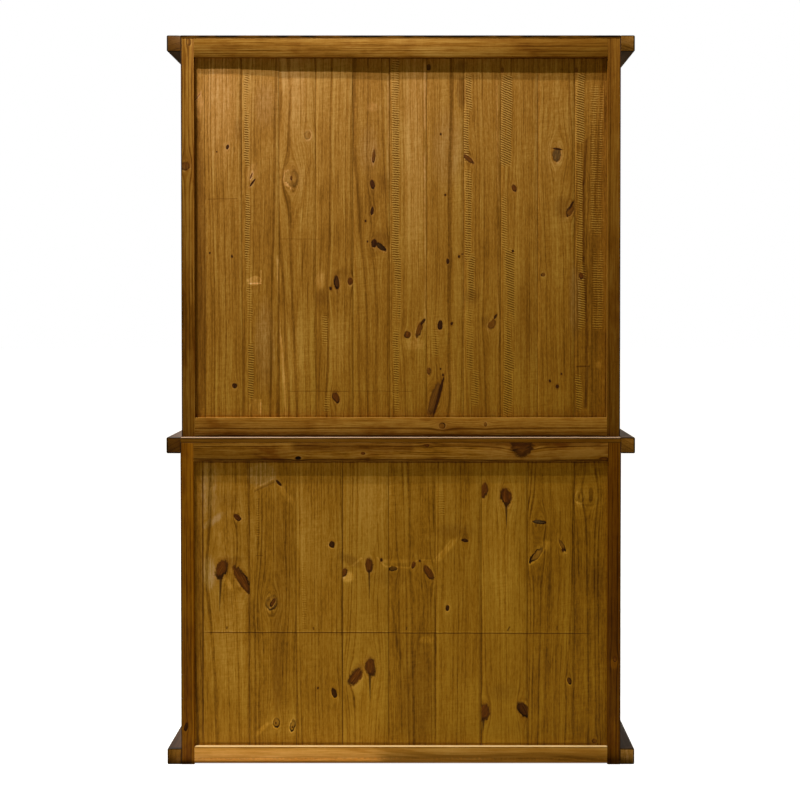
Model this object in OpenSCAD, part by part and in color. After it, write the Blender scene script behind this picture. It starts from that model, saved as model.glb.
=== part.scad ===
// Step back cupboard: a glazed upper case on a deeper lower case with two drawers over two panelled doors.
// Millimetres. X is the width, the front faces -Y, Z is up. The origin is the middle of the footprint.
// Timbers are given as boxes [low corner, high corner]; left and right are as seen from the front.

/* [Cases] */
// Width of both cases across their corner posts
body_w = 1285; // [1100:5:1500]
// Depth of the lower case
base_d = 470; // [420:5:560]
// Depth of the upper case
upper_d = 330; // [280:5:400]
// How far the upper case's back stands forward of the lower case's back
upper_setback = 18; // [0:1:40]
// Height of the lower case's posts
base_h = 943; // [880:1:1050]
// Height of the upper case's posts
upper_h = 1163; // [1000:1:1300]

/* [Posts and rails] */
// Thickness of a side frame, and the width of a back post seen from behind
frame_t = 38; // [32:1:46]
// Width of every post seen from the side
post_d = 64; // [54:1:80]
// Width of a front post seen from the front
front_post_w = 57; // [50:1:70]
// Width of the centre stiles between the doors and between the drawers
centre_stile_w = 57; // [45:1:70]
// Thickness of the front and back rails
rail_t = 38; // [32:1:45]
// Height of the side rails
side_rail_h = 90; // [70:1:110]
// How far the lower case's rails stop above the feet of its posts
base_rail_lift = 4; // [2:1:8]
// How far the upper case's rails stop above the counter
upper_rail_lift = 2; // [1:1:6]
// Height of the lower case's bottom back rail
base_back_bottom_h = 48; // [40:1:60]
// Height of the lower case's top back rail
base_back_top_h = 54; // [45:1:70]
// Height of the upper case's bottom rails, back and front
upper_bottom_h = 53; // [45:1:70]
// Height of the upper case's top back rail
upper_back_top_h = 53; // [45:1:70]
// Height of the lower case's bottom front rail
base_front_bottom_h = 68; // [55:1:90]
// Height of the rail between the doors and the drawers
middle_rail_h = 38; // [30:1:50]
// Height of the lower case's top front rail
base_front_top_h = 78; // [70:1:95]
// Height of the upper case's top front rail
upper_front_top_h = 90; // [75:1:110]
// Length of a tenon
tenon_l = 20; // [12:1:26]
// Thickness of a tenon
tenon_t = 12; // [8:1:14]
// Shoulder above and below a tenon
tenon_shoulder = 9; // [4:1:12]

/* [Boards] */
// Thickness of the boards in the backs and sides
board_t = 12; // [9:0.5:16]
// How far the upper case's back boards lie in from the back faces of its posts
upper_back_recess = 15; // [10:1:20]
// The same for the lower case
base_back_recess = 12; // [10:1:20]
// How far boards run into the grooves around them
groove_d = 8; // [5:0.5:10]
// Width of a back board in the lower case
base_board_w = 136; // [100:1:180]
// Width that shows of the lower back's first board, at the right-hand post
base_first_board_w = 25; // [15:1:100]
// Width of a back board in the upper case
upper_board_w = 108.6; // [80:0.2:150]
// Width that shows of the upper back's first board, at the right-hand post
upper_first_board_w = 28.6; // [15:0.2:80]
// Width of a side board
side_board_w = 114; // [80:1:160]
// Length of a tongue on a board's edge
tongue_l = 5; // [3:0.5:7]
// Thickness of a tongue on a board's edge
tongue_t = 4; // [3:0.5:5]
// Thickness of floors and shelves
shelf_t = 18; // [15:1:24]
// How far a floor lies below the top of the rail in front of it
floor_drop = 2; // [0:0.5:6]
// Height of the lower shelf's underside
base_shelf_z = 379; // [300:1:450]
// Thickness of the counter board
counter_t = 16; // [10:1:24]
// Thickness of the top board
top_board_t = 10; // [8:1:20]
// Side of a square batten that carries a shelf or a floor
batten = 19; // [15:1:25]

/* [Mouldings] */
// How far a moulding stands out from the case
moulding_out = 41; // [32:1:60]
// Height of a moulding
moulding_h = 47; // [35:1:60]
// Radius on a moulding's outer edges
moulding_r = 4; // [2:0.5:8]

/* [Doors] */
// Thickness of doors and drawer fronts
door_t = 22; // [20:1:26]
// Gap around a door or drawer front
door_gap = 2; // [1.5:0.25:3]
// Width of a door's stiles and top rail
stile_w = 64; // [50:1:80]
// Height of a door's bottom rail
door_bottom_h = 76; // [60:1:100]
// Width of the groove that a panel sits in
panel_groove = 7; // [5:0.5:8]
// Thickness of a panel at its middle
panel_t = 16; // [13:0.5:18]
// Width of the flat margin of a panel, from the bottom of its groove
panel_margin = 12; // [9:1:20]
// Width of a panel's bevel
panel_bevel = 38; // [25:1:60]
// Length of a door rail's tenon
door_tenon_l = 30; // [20:1:40]
// Thickness of the lip in front of the glass
glass_lip = 9; // [7:0.5:10]
// Width of the rebate behind that lip
rebate_w = 9; // [7:0.5:12]
// Thickness of the glass
glass_t = 3; // [3:0.5:4]
// Width of a glazing bar
bar_w = 19; // [14:1:25]
// Chamfer along a glazing bar
bar_chamfer = 4; // [2:0.5:6]
// Rows of panes in a glazed door
pane_rows = 4; // [3:1:5]

/* [Hinges] */
// Height of a hinge
hinge_h = 64; // [50:2:90]
// Depth of a hinge leaf in the door's edge
leaf_w = 18; // [14:1:19]
// Thickness of a hinge leaf
leaf_t = 1.5; // [1:0.25:2]
// Radius of a hinge's knuckles
knuckle_r = 4; // [3.5:0.25:4.5]
// Radius of a hinge pin
pin_r = 2; // [1.5:0.25:2.25]
// Distance of the pin's axis in front of the door
pin_offset = 5; // [5:0.25:6]
// Clearance between a pin and its knuckles
pin_clear = 0.05; // [0.02:0.01:0.1]
// Distance from a door's end to the middle of its nearest hinge
hinge_inset = 110; // [80:5:160]

/* [Knobs] */
// Radius of a knob
knob_r = 16; // [12:0.5:19]
// How far a knob stands out
knob_out = 30; // [24:1:36]
// Radius of a knob's flange
knob_flange_r = 10; // [8:0.5:12]
// Radius of a knob's fixing screw
screw_r = 2; // [1.5:0.25:2.5]
// Height of a lower door's knob above the door's foot
lower_knob_z = 400; // [200:5:520]
// Height of an upper door's knob above the door's foot
upper_knob_z = 420; // [200:5:700]
// Distance of a drawer knob from the middle of its drawer
drawer_knob_x = 140; // [80:5:200]

/* [Drawers] */
// Height of the drawer openings
drawer_opening_h = 121; // [110:1:160]
// Length of a drawer's sides
drawer_l = 380; // [300:5:390]
// Height of a drawer's sides
drawer_side_h = 100; // [80:1:105]
// Thickness of a drawer's sides and back
drawer_side_t = 12; // [10:1:16]
// Thickness of a drawer's bottom
drawer_bottom_t = 6; // [4:0.5:9]
// Height of a drawer's bottom above the edges that slide
drawer_bottom_z = 10; // [8:1:16]
// Depth of the grooves and housings in a drawer
drawer_groove_d = 6; // [4:0.5:7]
// Gap between a drawer's side and the opening's edge
drawer_side_gap = 3; // [2:0.5:5]
// Running gap below and beside a drawer
run_gap = 0.5; // [0.3:0.1:1]
// Length of a dovetail
dovetail_l = 14; // [10:1:16]
// Width of a dovetail at its narrow end
dovetail_w = 18; // [12:1:20]
// How much wider a dovetail is at its far end, each side
dovetail_flare = 2.5; // [1:0.5:4]
// Number of dovetails at a drawer's front corner
dovetails = 3; // [2:1:3]
// Thickness of runners and kickers
runner_t = 22; // [18:1:28]
// Width of a side runner or kicker
runner_w = 42; // [36:1:55]
// Height of a drawer guide
guide_h = 20; // [12:1:30]

/* [Stops and catches] */
// Height and width of a door stop
stop_h = 12; // [8:1:16]
// Length of a door stop
stop_l = 60; // [40:5:90]
// Gap between a door or drawer and its stop
stop_gap = 0.3; // [0.3:0.1:1]
// Radius of a bullet catch
catch_r = 4; // [3:0.5:5]
// Depth of a bullet catch
catch_l = 12; // [8:1:16]
// How far a catch's ball stands out
catch_ball_out = 1; // [0.5:0.25:1.25]

/* [Fits] */
// Clearance of boards, tenons and glass in their grooves and sockets
fit = 0.25; // [0.1:0.05:0.4]
// Gap that glue fills at a shoulder or a mitre
glue_line = 0.1; // [0.05:0.05:0.2]

/* [Hidden] */

PINE = "#a2723a";
STAIN = "#3d2a1c";
IRON = "#26221f";
GLASS = "#cfdcd8";
$fn = 48;
LEFT = -1;
RIGHT = 1;

// Planes of the cases
half_w = body_w / 2;
inner_x = half_w - frame_t;
opening_x = half_w - front_post_w;
back_y = (base_d + moulding_out) / 2;
front_y = back_y - base_d;
upper_back_y = back_y - upper_setback;
upper_front_y = upper_back_y - upper_d;
counter_z = base_h;
upper_z = counter_z + counter_t;
upper_top_z = upper_z + upper_h;
top_z = upper_top_z + top_board_t;

// Heights in the lower case, from its foot up
base_rail_z = base_rail_lift;
base_floor_top = base_rail_z + base_front_bottom_h - floor_drop;
lower_door_z = base_rail_z + base_front_bottom_h;
drawer_z = base_h - base_front_top_h - drawer_opening_h;
lower_door_top = drawer_z - middle_rail_h;
drawer_top = base_h - base_front_top_h;

// Heights in the upper case
upper_rail_z = upper_z + upper_rail_lift;
upper_floor_top = upper_rail_z + upper_bottom_h - floor_drop;
upper_door_z = upper_rail_z + upper_bottom_h;
upper_door_top = upper_top_z - upper_front_top_h;

// Doors
opening_w = opening_x - centre_stile_w / 2;
door_w = opening_w - 2 * door_gap;
lower_door_h = lower_door_top - lower_door_z - 2 * door_gap;
upper_door_h = upper_door_top - upper_door_z - 2 * door_gap;
sight_h = upper_door_h - door_bottom_h - stile_w;
pane_h = (sight_h - (pane_rows - 1) * bar_w) / pane_rows;
function bar_z(row) = door_bottom_h + row * pane_h + (row - 1) * bar_w;
lower_hinges = 2;
upper_hinges = 3;
knuckles = 5;

function middle(box, axis) = (box[0][axis] + box[1][axis]) / 2;
function mirrored(box, side) =
  side > 0 ? box : [[-box[1][0], box[0][1], box[0][2]], [-box[0][0], box[1][1], box[1][2]]];

module timber(box) {
  translate(box[0]) cube(box[1] - box[0]);
}

// ---------------------------------------------------------------- timbers of one case
// A case is [back face, front face, foot, top] in Y, Y, Z, Z, and how far its back boards lie in
base_case = [back_y, front_y, 0, base_h, base_back_recess];
upper_case = [upper_back_y, upper_front_y, upper_z, upper_top_z, upper_back_recess];

function back_post(c) = [[inner_x, c[0] - post_d, c[2]], [half_w, c[0], c[3]]];
function front_post(c) = [[opening_x, c[1], c[2]], [half_w, c[1] + post_d, c[3]]];
function back_rail(c, z, h) =
  [[-inner_x + glue_line, c[0] - rail_t, z], [inner_x - glue_line, c[0], z + h]];
function front_rail(c, z, h) =
  [[-opening_x + glue_line, c[1], z], [opening_x - glue_line, c[1] + rail_t, z + h]];
function side_rail(c, z) =
  [[inner_x, c[1] + post_d + glue_line, z], [half_w, c[0] - post_d - glue_line, z + side_rail_h]];
function centre_stile(c, low, high) =
  [[-centre_stile_w / 2, c[1], low + glue_line], [centre_stile_w / 2, c[1] + rail_t, high - glue_line]];

base_back_rails = [
  back_rail(base_case, base_rail_z, base_back_bottom_h),
  back_rail(base_case, base_h - base_back_top_h, base_back_top_h)];
upper_back_rails = [
  back_rail(upper_case, upper_rail_z, upper_bottom_h),
  back_rail(upper_case, upper_top_z - upper_back_top_h, upper_back_top_h)];
base_front_rails = [
  front_rail(base_case, base_rail_z, base_front_bottom_h),
  front_rail(base_case, lower_door_top, middle_rail_h),
  front_rail(base_case, drawer_top, base_front_top_h)];
upper_front_rails = [
  front_rail(upper_case, upper_rail_z, upper_bottom_h),
  front_rail(upper_case, upper_door_top, upper_front_top_h)];
base_stiles = [
  centre_stile(base_case, lower_door_z, lower_door_top),
  centre_stile(base_case, drawer_z, drawer_top)];
upper_stiles = [centre_stile(upper_case, upper_door_z, upper_door_top)];
base_side_rails = [
  side_rail(base_case, base_rail_z),
  side_rail(base_case, base_h - side_rail_h)];
upper_side_rails = [
  side_rail(upper_case, upper_rail_z),
  side_rail(upper_case, upper_top_z - side_rail_h)];

// The space that back boards fill: the opening and the grooves around it
function back_panel(c, rails) =
  [[-inner_x - groove_d, c[0] - c[4] - board_t, rails[0][1][2] - groove_d],
   [inner_x + groove_d, c[0] - c[4], rails[1][0][2] + groove_d]];
// The same for the boards of the right-hand side
function side_panel(c, rails) =
  [[half_w - frame_t / 2 - board_t / 2, c[1] + post_d - groove_d, rails[0][1][2] - groove_d],
   [half_w - frame_t / 2 + board_t / 2, c[0] - post_d + groove_d, rails[1][0][2] + groove_d]];
function grown(box, by) = [box[0] - [by, by, by], box[1] + [by, by, by]];

// Length of a tenon along Z or a level axis: those of the centre stiles don't meet inside the middle rail
function tenon_length(along) = along == 2 ? min(tenon_l, middle_rail_h / 2 - 2) : tenon_l;

// One tenon of a bar: along is the bar's axis, thin the axis across which the tenon is thinner
function tenon(bar, along, thin, end, grow = 0) =
  let (face = end > 0 ? bar[1][along] : bar[0][along],
       tip = face + end * (tenon_length(along) + grow),
       centre = middle(bar, thin))
  [[for (i = [0:2])
      i == along ? min(face, tip) : i == thin ? centre - tenon_t / 2 - grow : bar[0][i] + tenon_shoulder - grow],
   [for (i = [0:2])
      i == along ? max(face, tip) : i == thin ? centre + tenon_t / 2 + grow : bar[1][i] - tenon_shoulder + grow]];

module tenons(bars, along, thin, grow = 0) {
  for (bar = bars, end = [-1, 1]) timber(tenon(bar, along, thin, end, grow));
}

// Everything let into the posts and rails of a case
module case_joints(c, back_rails, front_rails, side_rails, stiles) {
  tenons(back_rails, 0, 1, fit);
  tenons(front_rails, 0, 1, fit);
  tenons(stiles, 2, 1, fit);
  timber(grown(back_panel(c, back_rails), fit));
  for (side = [LEFT, RIGHT]) {
    tenons([for (rail = side_rails) mirrored(rail, side)], 1, 0, fit);
    timber(mirrored(grown(side_panel(c, side_rails), fit), side));
  }
  hinge_pockets();
  catch_bores();
}

module base_joints() {
  case_joints(base_case, base_back_rails, base_front_rails, base_side_rails, base_stiles);
}

module upper_joints() {
  case_joints(upper_case, upper_back_rails, upper_front_rails, upper_side_rails, upper_stiles);
}

module base_side_frame(side) {
  color(STAIN) {
    for (box = concat([back_post(base_case), front_post(base_case)], base_side_rails))
      difference() {
        timber(mirrored(box, side));
        base_joints();
      }
    tenons([for (rail = base_side_rails) mirrored(rail, side)], 1, 0);
  }
}

module upper_side_frame(side) {
  color(STAIN) {
    for (box = concat([back_post(upper_case), front_post(upper_case)], upper_side_rails))
      difference() {
        timber(mirrored(box, side));
        upper_joints();
      }
    tenons([for (rail = upper_side_rails) mirrored(rail, side)], 1, 0);
  }
}

module base_back_rail(which) {
  color(PINE) {
    difference() {
      timber(base_back_rails[which]);
      base_joints();
    }
    tenons([base_back_rails[which]], 0, 1);
  }
}

module upper_back_rail(which) {
  color(PINE) {
    difference() {
      timber(upper_back_rails[which]);
      upper_joints();
    }
    tenons([upper_back_rails[which]], 0, 1);
  }
}

module base_front_frame() {
  color(STAIN) {
    for (box = concat(base_front_rails, base_stiles))
      difference() {
        timber(box);
        base_joints();
      }
    tenons(base_front_rails, 0, 1);
    tenons(base_stiles, 2, 1);
  }
}

module upper_front_frame() {
  color(STAIN) {
    for (box = concat(upper_front_rails, upper_stiles))
      difference() {
        timber(box);
        upper_joints();
      }
    tenons(upper_front_rails, 0, 1);
    tenons(upper_stiles, 2, 1);
  }
}

// ---------------------------------------------------------------- jointed boards
// Edges of a row of boards from high down to low, the first one first_w wide and the rest w wide
function board_edges(low, high, first_w, w) =
  concat([high], [for (x = high - first_w; x > low + 2 * tongue_l; x = x - w) x], [low]);

// Plan of one board from a to b, with a groove at a unless it is the last, and a tongue at b unless it is the first
module board_plan(a, b, last, first) {
  difference() {
    union() {
      translate([a + fit, 0]) square([b - a - 2 * fit, board_t]);
      if (!first) translate([b - 2 * fit, board_t / 2 - tongue_t / 2]) square([tongue_l, tongue_t]);
    }
    if (!last)
      translate([a, board_t / 2 - tongue_t / 2 - fit])
        square([tongue_l + fit, tongue_t + 2 * fit]);
  }
}

// Upright tongued and grooved boards that fill a panel space, laid out along X
module board_row(panel, first_w, w) {
  edges = board_edges(panel[0][0], panel[1][0], first_w, w);
  count = len(edges) - 1;
  for (i = [0:count - 1])
    translate([0, panel[0][1], panel[0][2] + fit])
      linear_extrude(panel[1][2] - panel[0][2] - 2 * fit)
        board_plan(edges[i + 1], edges[i], i == count - 1, i == 0);
}

module base_back_boards() {
  color(PINE)
    board_row(back_panel(base_case, base_back_rails), groove_d + base_first_board_w, base_board_w);
}

module upper_back_boards() {
  color(PINE)
    board_row(back_panel(upper_case, upper_back_rails), groove_d + upper_first_board_w, upper_board_w);
}

// Boards of both sides: the row is laid out along X and turned to run along Y
module side_board_rows(c, rails) {
  panel = side_panel(c, rails);
  run = [[panel[0][1], 0, panel[0][2]], [panel[1][1], board_t, panel[1][2]]];
  for (side = [LEFT, RIGHT])
    translate([side * (half_w - frame_t / 2) + board_t / 2, 0, 0])
      rotate(90)
        board_row(run, groove_d + side_board_w, side_board_w);
}

module base_side_boards() {
  color(STAIN) side_board_rows(base_case, base_side_rails);
}

module upper_side_boards() {
  color(STAIN) side_board_rows(upper_case, upper_side_rails);
}

// ---------------------------------------------------------------- floors, shelves and tops
// A level board across a case, cut round the front posts
module level_board(c, low, high_y) {
  difference() {
    timber([[-inner_x + fit, c[1] + rail_t, low], [inner_x - fit, high_y, low + shelf_t]]);
    for (side = [LEFT, RIGHT]) timber(grown(mirrored(front_post(c), side), fit));
  }
}

module base_floor_board() {
  color(PINE) level_board(base_case, base_floor_top - shelf_t, board_face(base_case) - fit);
}

module base_shelf() {
  color(PINE) level_board(base_case, base_shelf_z, board_face(base_case) - fit);
}

module upper_floor_board() {
  color(PINE) level_board(upper_case, upper_floor_top - shelf_t, upper_back_y - rail_t - fit);
}

module upper_shelves() {
  color(PINE)
    for (z = upper_shelf_z) level_board(upper_case, z, board_face(upper_case) - fit);
}

// Inner face of the back boards
function board_face(c) = c[0] - c[4] - board_t;
// Undersides of the upper shelves, each level with a glazing bar
upper_shelf_z = [for (row = [1:pane_rows - 1]) upper_door_z + door_gap + bar_z(row) + bar_w / 2 - shelf_t / 2];

// Battens under one level board: one along each side, and one behind the front rail of a floor
module battens(c, z, high_y, with_front) {
  for (side = [LEFT, RIGHT])
    timber(mirrored([[inner_x - batten, c[1] + post_d, z - batten], [inner_x, high_y, z]], side));
  if (with_front)
    timber([[-opening_x, c[1] + rail_t, z - batten], [opening_x, c[1] + rail_t + batten, z]]);
}

module shelf_battens() {
  color(PINE) {
    battens(base_case, base_floor_top - shelf_t, back_y - rail_t, true);
    battens(base_case, base_shelf_z, board_face(base_case) - fit, false);
    battens(upper_case, upper_floor_top - shelf_t, upper_back_y - rail_t, true);
    for (z = upper_shelf_z) battens(upper_case, z, board_face(upper_case) - fit, false);
  }
}

module counter_top() {
  color(PINE) timber([[-half_w, front_y, counter_z], [half_w, back_y, upper_z]]);
}

module top_board() {
  color(PINE) timber([[-half_w, upper_front_y, upper_top_z], [half_w, upper_back_y, top_z]]);
}

// ---------------------------------------------------------------- mouldings
// Section of a moulding: its back is at 0, and both outer edges are rounded
module moulding_section() {
  square([moulding_out - moulding_r, moulding_h]);
  translate([0, moulding_r]) square([moulding_out, moulding_h - 2 * moulding_r]);
  for (z = [moulding_r, moulding_h - moulding_r])
    translate([moulding_out - moulding_r, z]) circle(moulding_r);
}

// A length of moulding along X that stands out towards -Y, with a mitre at its start, its end or both
module moulding(length, mitre_start, mitre_end) {
  tip = moulding_out - glue_line;
  intersection() {
    translate([-moulding_out, 0, 0])
      rotate([90, 0, 90])
        mirror([1, 0])
          linear_extrude(length + 2 * moulding_out) moulding_section();
    linear_extrude(moulding_h)
      polygon([
        [mitre_start * glue_line, 0],
        [length - mitre_end * glue_line, 0],
        [length + mitre_end * tip, -moulding_out],
        [-mitre_start * tip, -moulding_out]]);
  }
}

// Mouldings round the front and both sides of a case, level with z
module moulding_set(c, z) {
  depth = c[0] - c[1];
  color(STAIN) {
    translate([-half_w, c[1], z]) moulding(body_w, 1, 1);
    translate([half_w, c[1], z]) rotate(90) moulding(depth, 1, 0);
    translate([-half_w, c[0], z]) rotate(-90) moulding(depth, 0, 1);
  }
}

// ---------------------------------------------------------------- hinges
function hinge_zs(low, door_h, count) =
  [for (i = [0:count - 1]) low + hinge_inset + i * (door_h - 2 * hinge_inset) / (count - 1)];
lower_hinge_zs = hinge_zs(lower_door_z + door_gap, lower_door_h, lower_hinges);
upper_hinge_zs = hinge_zs(upper_door_z + door_gap, upper_door_h, upper_hinges);
knuckle_h = hinge_h / knuckles;

// Children are placed at every right-hand hinge and mirrored to the left-hand ones.
// The hinge's own frame has the pin on Z, the door towards -X and the front towards -Y.
module at_hinges(face_y, zs, sides = [LEFT, RIGHT]) {
  for (side = sides, z = zs)
    mirror([side < 0 ? 1 : 0, 0, 0])
      translate([opening_x - door_gap / 2, face_y - pin_offset, z])
        children();
}

module at_all_hinges() {
  at_hinges(front_y, lower_hinge_zs) children();
  at_hinges(upper_front_y, upper_hinge_zs) children();
}

// Knuckle number i, counted from the bottom
module knuckle(i) {
  translate([0, 0, -hinge_h / 2 + i * knuckle_h + fit / 2]) cylinder(r = knuckle_r, h = knuckle_h - fit);
}

// A leaf on one side of the pin: the plate lies in the timber, and ears run out to its own knuckles
module leaf(side, own) {
  inner = side > 0 ? door_gap / 2 : -door_gap / 2 - leaf_t;
  difference() {
    union() {
      translate([inner, knuckle_r + fit, -hinge_h / 2])
        cube([leaf_t, pin_offset + leaf_w - knuckle_r - fit, hinge_h]);
      for (i = own) {
        knuckle(i);
        translate([inner, 0, -hinge_h / 2 + i * knuckle_h + fit / 2])
          cube([leaf_t, pin_offset, knuckle_h - fit]);
      }
    }
    cylinder(r = pin_r + pin_clear, h = hinge_h + 2, center = true);
  }
}

module hinge_case_leaves() {
  color(IRON) at_all_hinges() leaf(1, [0, 2, 4]);
}

module hinge_pins() {
  color(IRON) at_all_hinges() {
    cylinder(r = pin_r, h = hinge_h, center = true);
    for (end = [-1, 1]) translate([0, 0, end * (hinge_h / 2 + pin_r / 2)]) cylinder(r = knuckle_r, h = pin_r, center = true);
  }
}

// Recess in a post or a door stile for one leaf
module leaf_pocket(side) {
  translate([side > 0 ? door_gap / 2 : -door_gap / 2 - leaf_t, pin_offset, -hinge_h / 2 - fit])
    cube([leaf_t, leaf_w + fit, hinge_h + 2 * fit]);
}

module hinge_pockets() {
  at_all_hinges() leaf_pocket(1);
}

// ---------------------------------------------------------------- catches and stops
// Places of the catches, over each door near its free edge: [face of the case, underside of the rail]
catch_places = [[front_y, lower_door_top], [upper_front_y, upper_door_top]];
catch_x = centre_stile_w / 2 + door_gap + stile_w / 2;

module catch_bores() {
  for (place = catch_places, side = [LEFT, RIGHT])
    translate([side * catch_x, place[0] + door_t / 2, place[1]])
      cylinder(r = catch_r + fit, h = catch_l + fit);
}

module door_catches() {
  ball_r = catch_r * 0.7;
  color(IRON)
    for (place = catch_places, side = [LEFT, RIGHT])
      translate([side * catch_x, place[0] + door_t / 2, place[1]]) {
        cylinder(r = catch_r, h = catch_l);
        translate([0, 0, ball_r - catch_ball_out]) sphere(ball_r);
      }
}

module door_stops() {
  color(PINE)
    for (place = catch_places, side = [LEFT, RIGHT])
      timber(mirrored(
        [[centre_stile_w / 2, place[0] + door_t + stop_gap, place[1] - stop_h],
         [centre_stile_w / 2 + stop_l, place[0] + rail_t, place[1]]], side));
}

// ---------------------------------------------------------------- doors
// A door's own frame has its hinged edge at X 0, its foot at Z 0 and its front at Y 0
module place_door(side, face_y, z) {
  mirror([side < 0 ? 0 : 1, 0, 0])
    translate([-opening_x + door_gap, face_y, z])
      children();
}

function door_rails(h) = [
  [[stile_w + glue_line, 0, 0], [door_w - stile_w - glue_line, door_t, door_bottom_h]],
  [[stile_w + glue_line, 0, h - stile_w], [door_w - stile_w - glue_line, door_t, h]]];

function door_tenon(rail, end, grow = 0) =
  let (face = end > 0 ? rail[1][0] : rail[0][0],
       tip = face + end * (door_tenon_l + grow),
       half_t = panel_groove / 2 - fit + grow)
  [[min(face, tip), door_t / 2 - half_t, rail[0][2] + tenon_shoulder - grow],
   [max(face, tip), door_t / 2 + half_t, rail[1][2] - tenon_shoulder + grow]];

module door_tenons(h, grow = 0) {
  for (rail = door_rails(h), end = [-1, 1]) timber(door_tenon(rail, end, grow));
}

// Stiles and rails with whatever the children cut out of them
module door_frame(h, knob_z, hinge_count) {
  stiles = [[[0, 0, 0], [stile_w, door_t, h]], [[door_w - stile_w, 0, 0], [door_w, door_t, h]]];
  difference() {
    union() for (box = stiles) timber(box);
    door_tenons(h, fit);
    children();
    for (z = hinge_zs(0, h, hinge_count))
      translate([-door_gap / 2, -pin_offset, z]) leaf_pocket(1);
    translate([door_w - stile_w / 2, -1, knob_z]) rotate([-90, 0, 0]) cylinder(r = screw_r + fit, h = door_t + 2);
  }
  difference() {
    union() for (box = door_rails(h)) timber(box);
    children();
  }
  door_tenons(h);
}

module lower_door_frame(side) {
  color(STAIN)
    place_door(side, front_y, lower_door_z + door_gap)
      door_frame(lower_door_h, lower_knob_z, lower_hinges)
        panel_space(fit);
}

module upper_door_frame(side) {
  color(STAIN)
    place_door(side, upper_front_y, upper_door_z + door_gap)
      door_frame(upper_door_h, upper_knob_z, upper_hinges)
        glass_rebate();
}

// The groove round a lower door's panel
module panel_space(grow) {
  timber([
    [stile_w - groove_d - grow, door_t / 2 - panel_groove / 2, door_bottom_h - groove_d - grow],
    [door_w - stile_w + groove_d + grow, door_t / 2 + panel_groove / 2, lower_door_h - stile_w + groove_d + grow]]);
}

// Section of a raised panel of width w: a flat margin, a bevel and a raised field towards the front
module panel_section(w) {
  edge_t = panel_groove - 2 * fit;
  polygon([
    [0, 0], [w, 0],
    [w, -edge_t], [w - panel_margin, -edge_t],
    [w - panel_margin - panel_bevel, -panel_t], [panel_margin + panel_bevel, -panel_t],
    [panel_margin, -edge_t], [0, -edge_t]]);
}

module lower_door_panel(side) {
  w = door_w - 2 * stile_w + 2 * groove_d;
  h = lower_door_h - door_bottom_h - stile_w + 2 * groove_d;
  color(STAIN)
    place_door(side, front_y, lower_door_z + door_gap)
      translate([stile_w - groove_d, door_t / 2 + panel_groove / 2 - fit, door_bottom_h - groove_d])
        intersection() {
          linear_extrude(h) panel_section(w);
          translate([w, 0, 0]) rotate([0, -90, 0]) linear_extrude(w) panel_section(h);
        }
}

// The rebate behind an upper door's lip
module glass_rebate() {
  timber([
    [stile_w - rebate_w, glass_lip, door_bottom_h - rebate_w],
    [door_w - stile_w + rebate_w, door_t + 1, upper_door_h - stile_w + rebate_w]]);
}

// A glazing bar of a length along X, front at Y 0, with chamfered front edges
module glazing_bar(length, grow = 0) {
  low = -grow;
  high = bar_w + grow;
  rotate([90, 0, 90])
    linear_extrude(length)
      polygon([
        [0, low + bar_chamfer], [bar_chamfer, low], [glass_lip, low],
        [glass_lip, high], [bar_chamfer, high], [0, high - bar_chamfer]]);
}

module upright_bar(grow = 0) {
  translate([door_w / 2 + bar_w / 2, 0, door_bottom_h]) rotate([0, -90, 0]) glazing_bar(sight_h, grow);
}

// The cross bars are scribed over the upright one
module upper_door_bars(side) {
  sight_w = door_w - 2 * stile_w;
  color(STAIN)
    place_door(side, upper_front_y, upper_door_z + door_gap) {
      upright_bar();
      for (row = [1:pane_rows - 1])
        difference() {
          translate([stile_w, 0, bar_z(row)]) glazing_bar(sight_w);
          upright_bar(glue_line);
        }
    }
}

module upper_door_glass(side) {
  color(GLASS, 0.35)
    place_door(side, upper_front_y, upper_door_z + door_gap)
      timber([
        [stile_w - rebate_w + fit, glass_lip + fit, door_bottom_h - rebate_w + fit],
        [door_w - stile_w + rebate_w - fit, glass_lip + fit + glass_t, upper_door_h - stile_w + rebate_w - fit]]);
}

module upper_door_beads(side) {
  low = [stile_w - rebate_w, door_bottom_h - rebate_w];
  high = [door_w - stile_w + rebate_w, upper_door_h - stile_w + rebate_w];
  y = glass_lip + 2 * fit + glass_t;
  bead_w = rebate_w - 1;
  color(STAIN)
    place_door(side, upper_front_y, upper_door_z + door_gap) {
      for (x = [low[0], high[0] - bead_w])
        timber([[x, y, low[1]], [x + bead_w, door_t, high[1]]]);
      for (z = [low[1], high[1] - bead_w])
        timber([[low[0] + bead_w + glue_line, y, z], [high[0] - bead_w - glue_line, door_t, z + bead_w]]);
    }
}

module door_leaves(side, face_y, zs) {
  color(IRON) at_hinges(face_y, zs, [side]) leaf(-1, [1, 3]);
}

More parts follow.
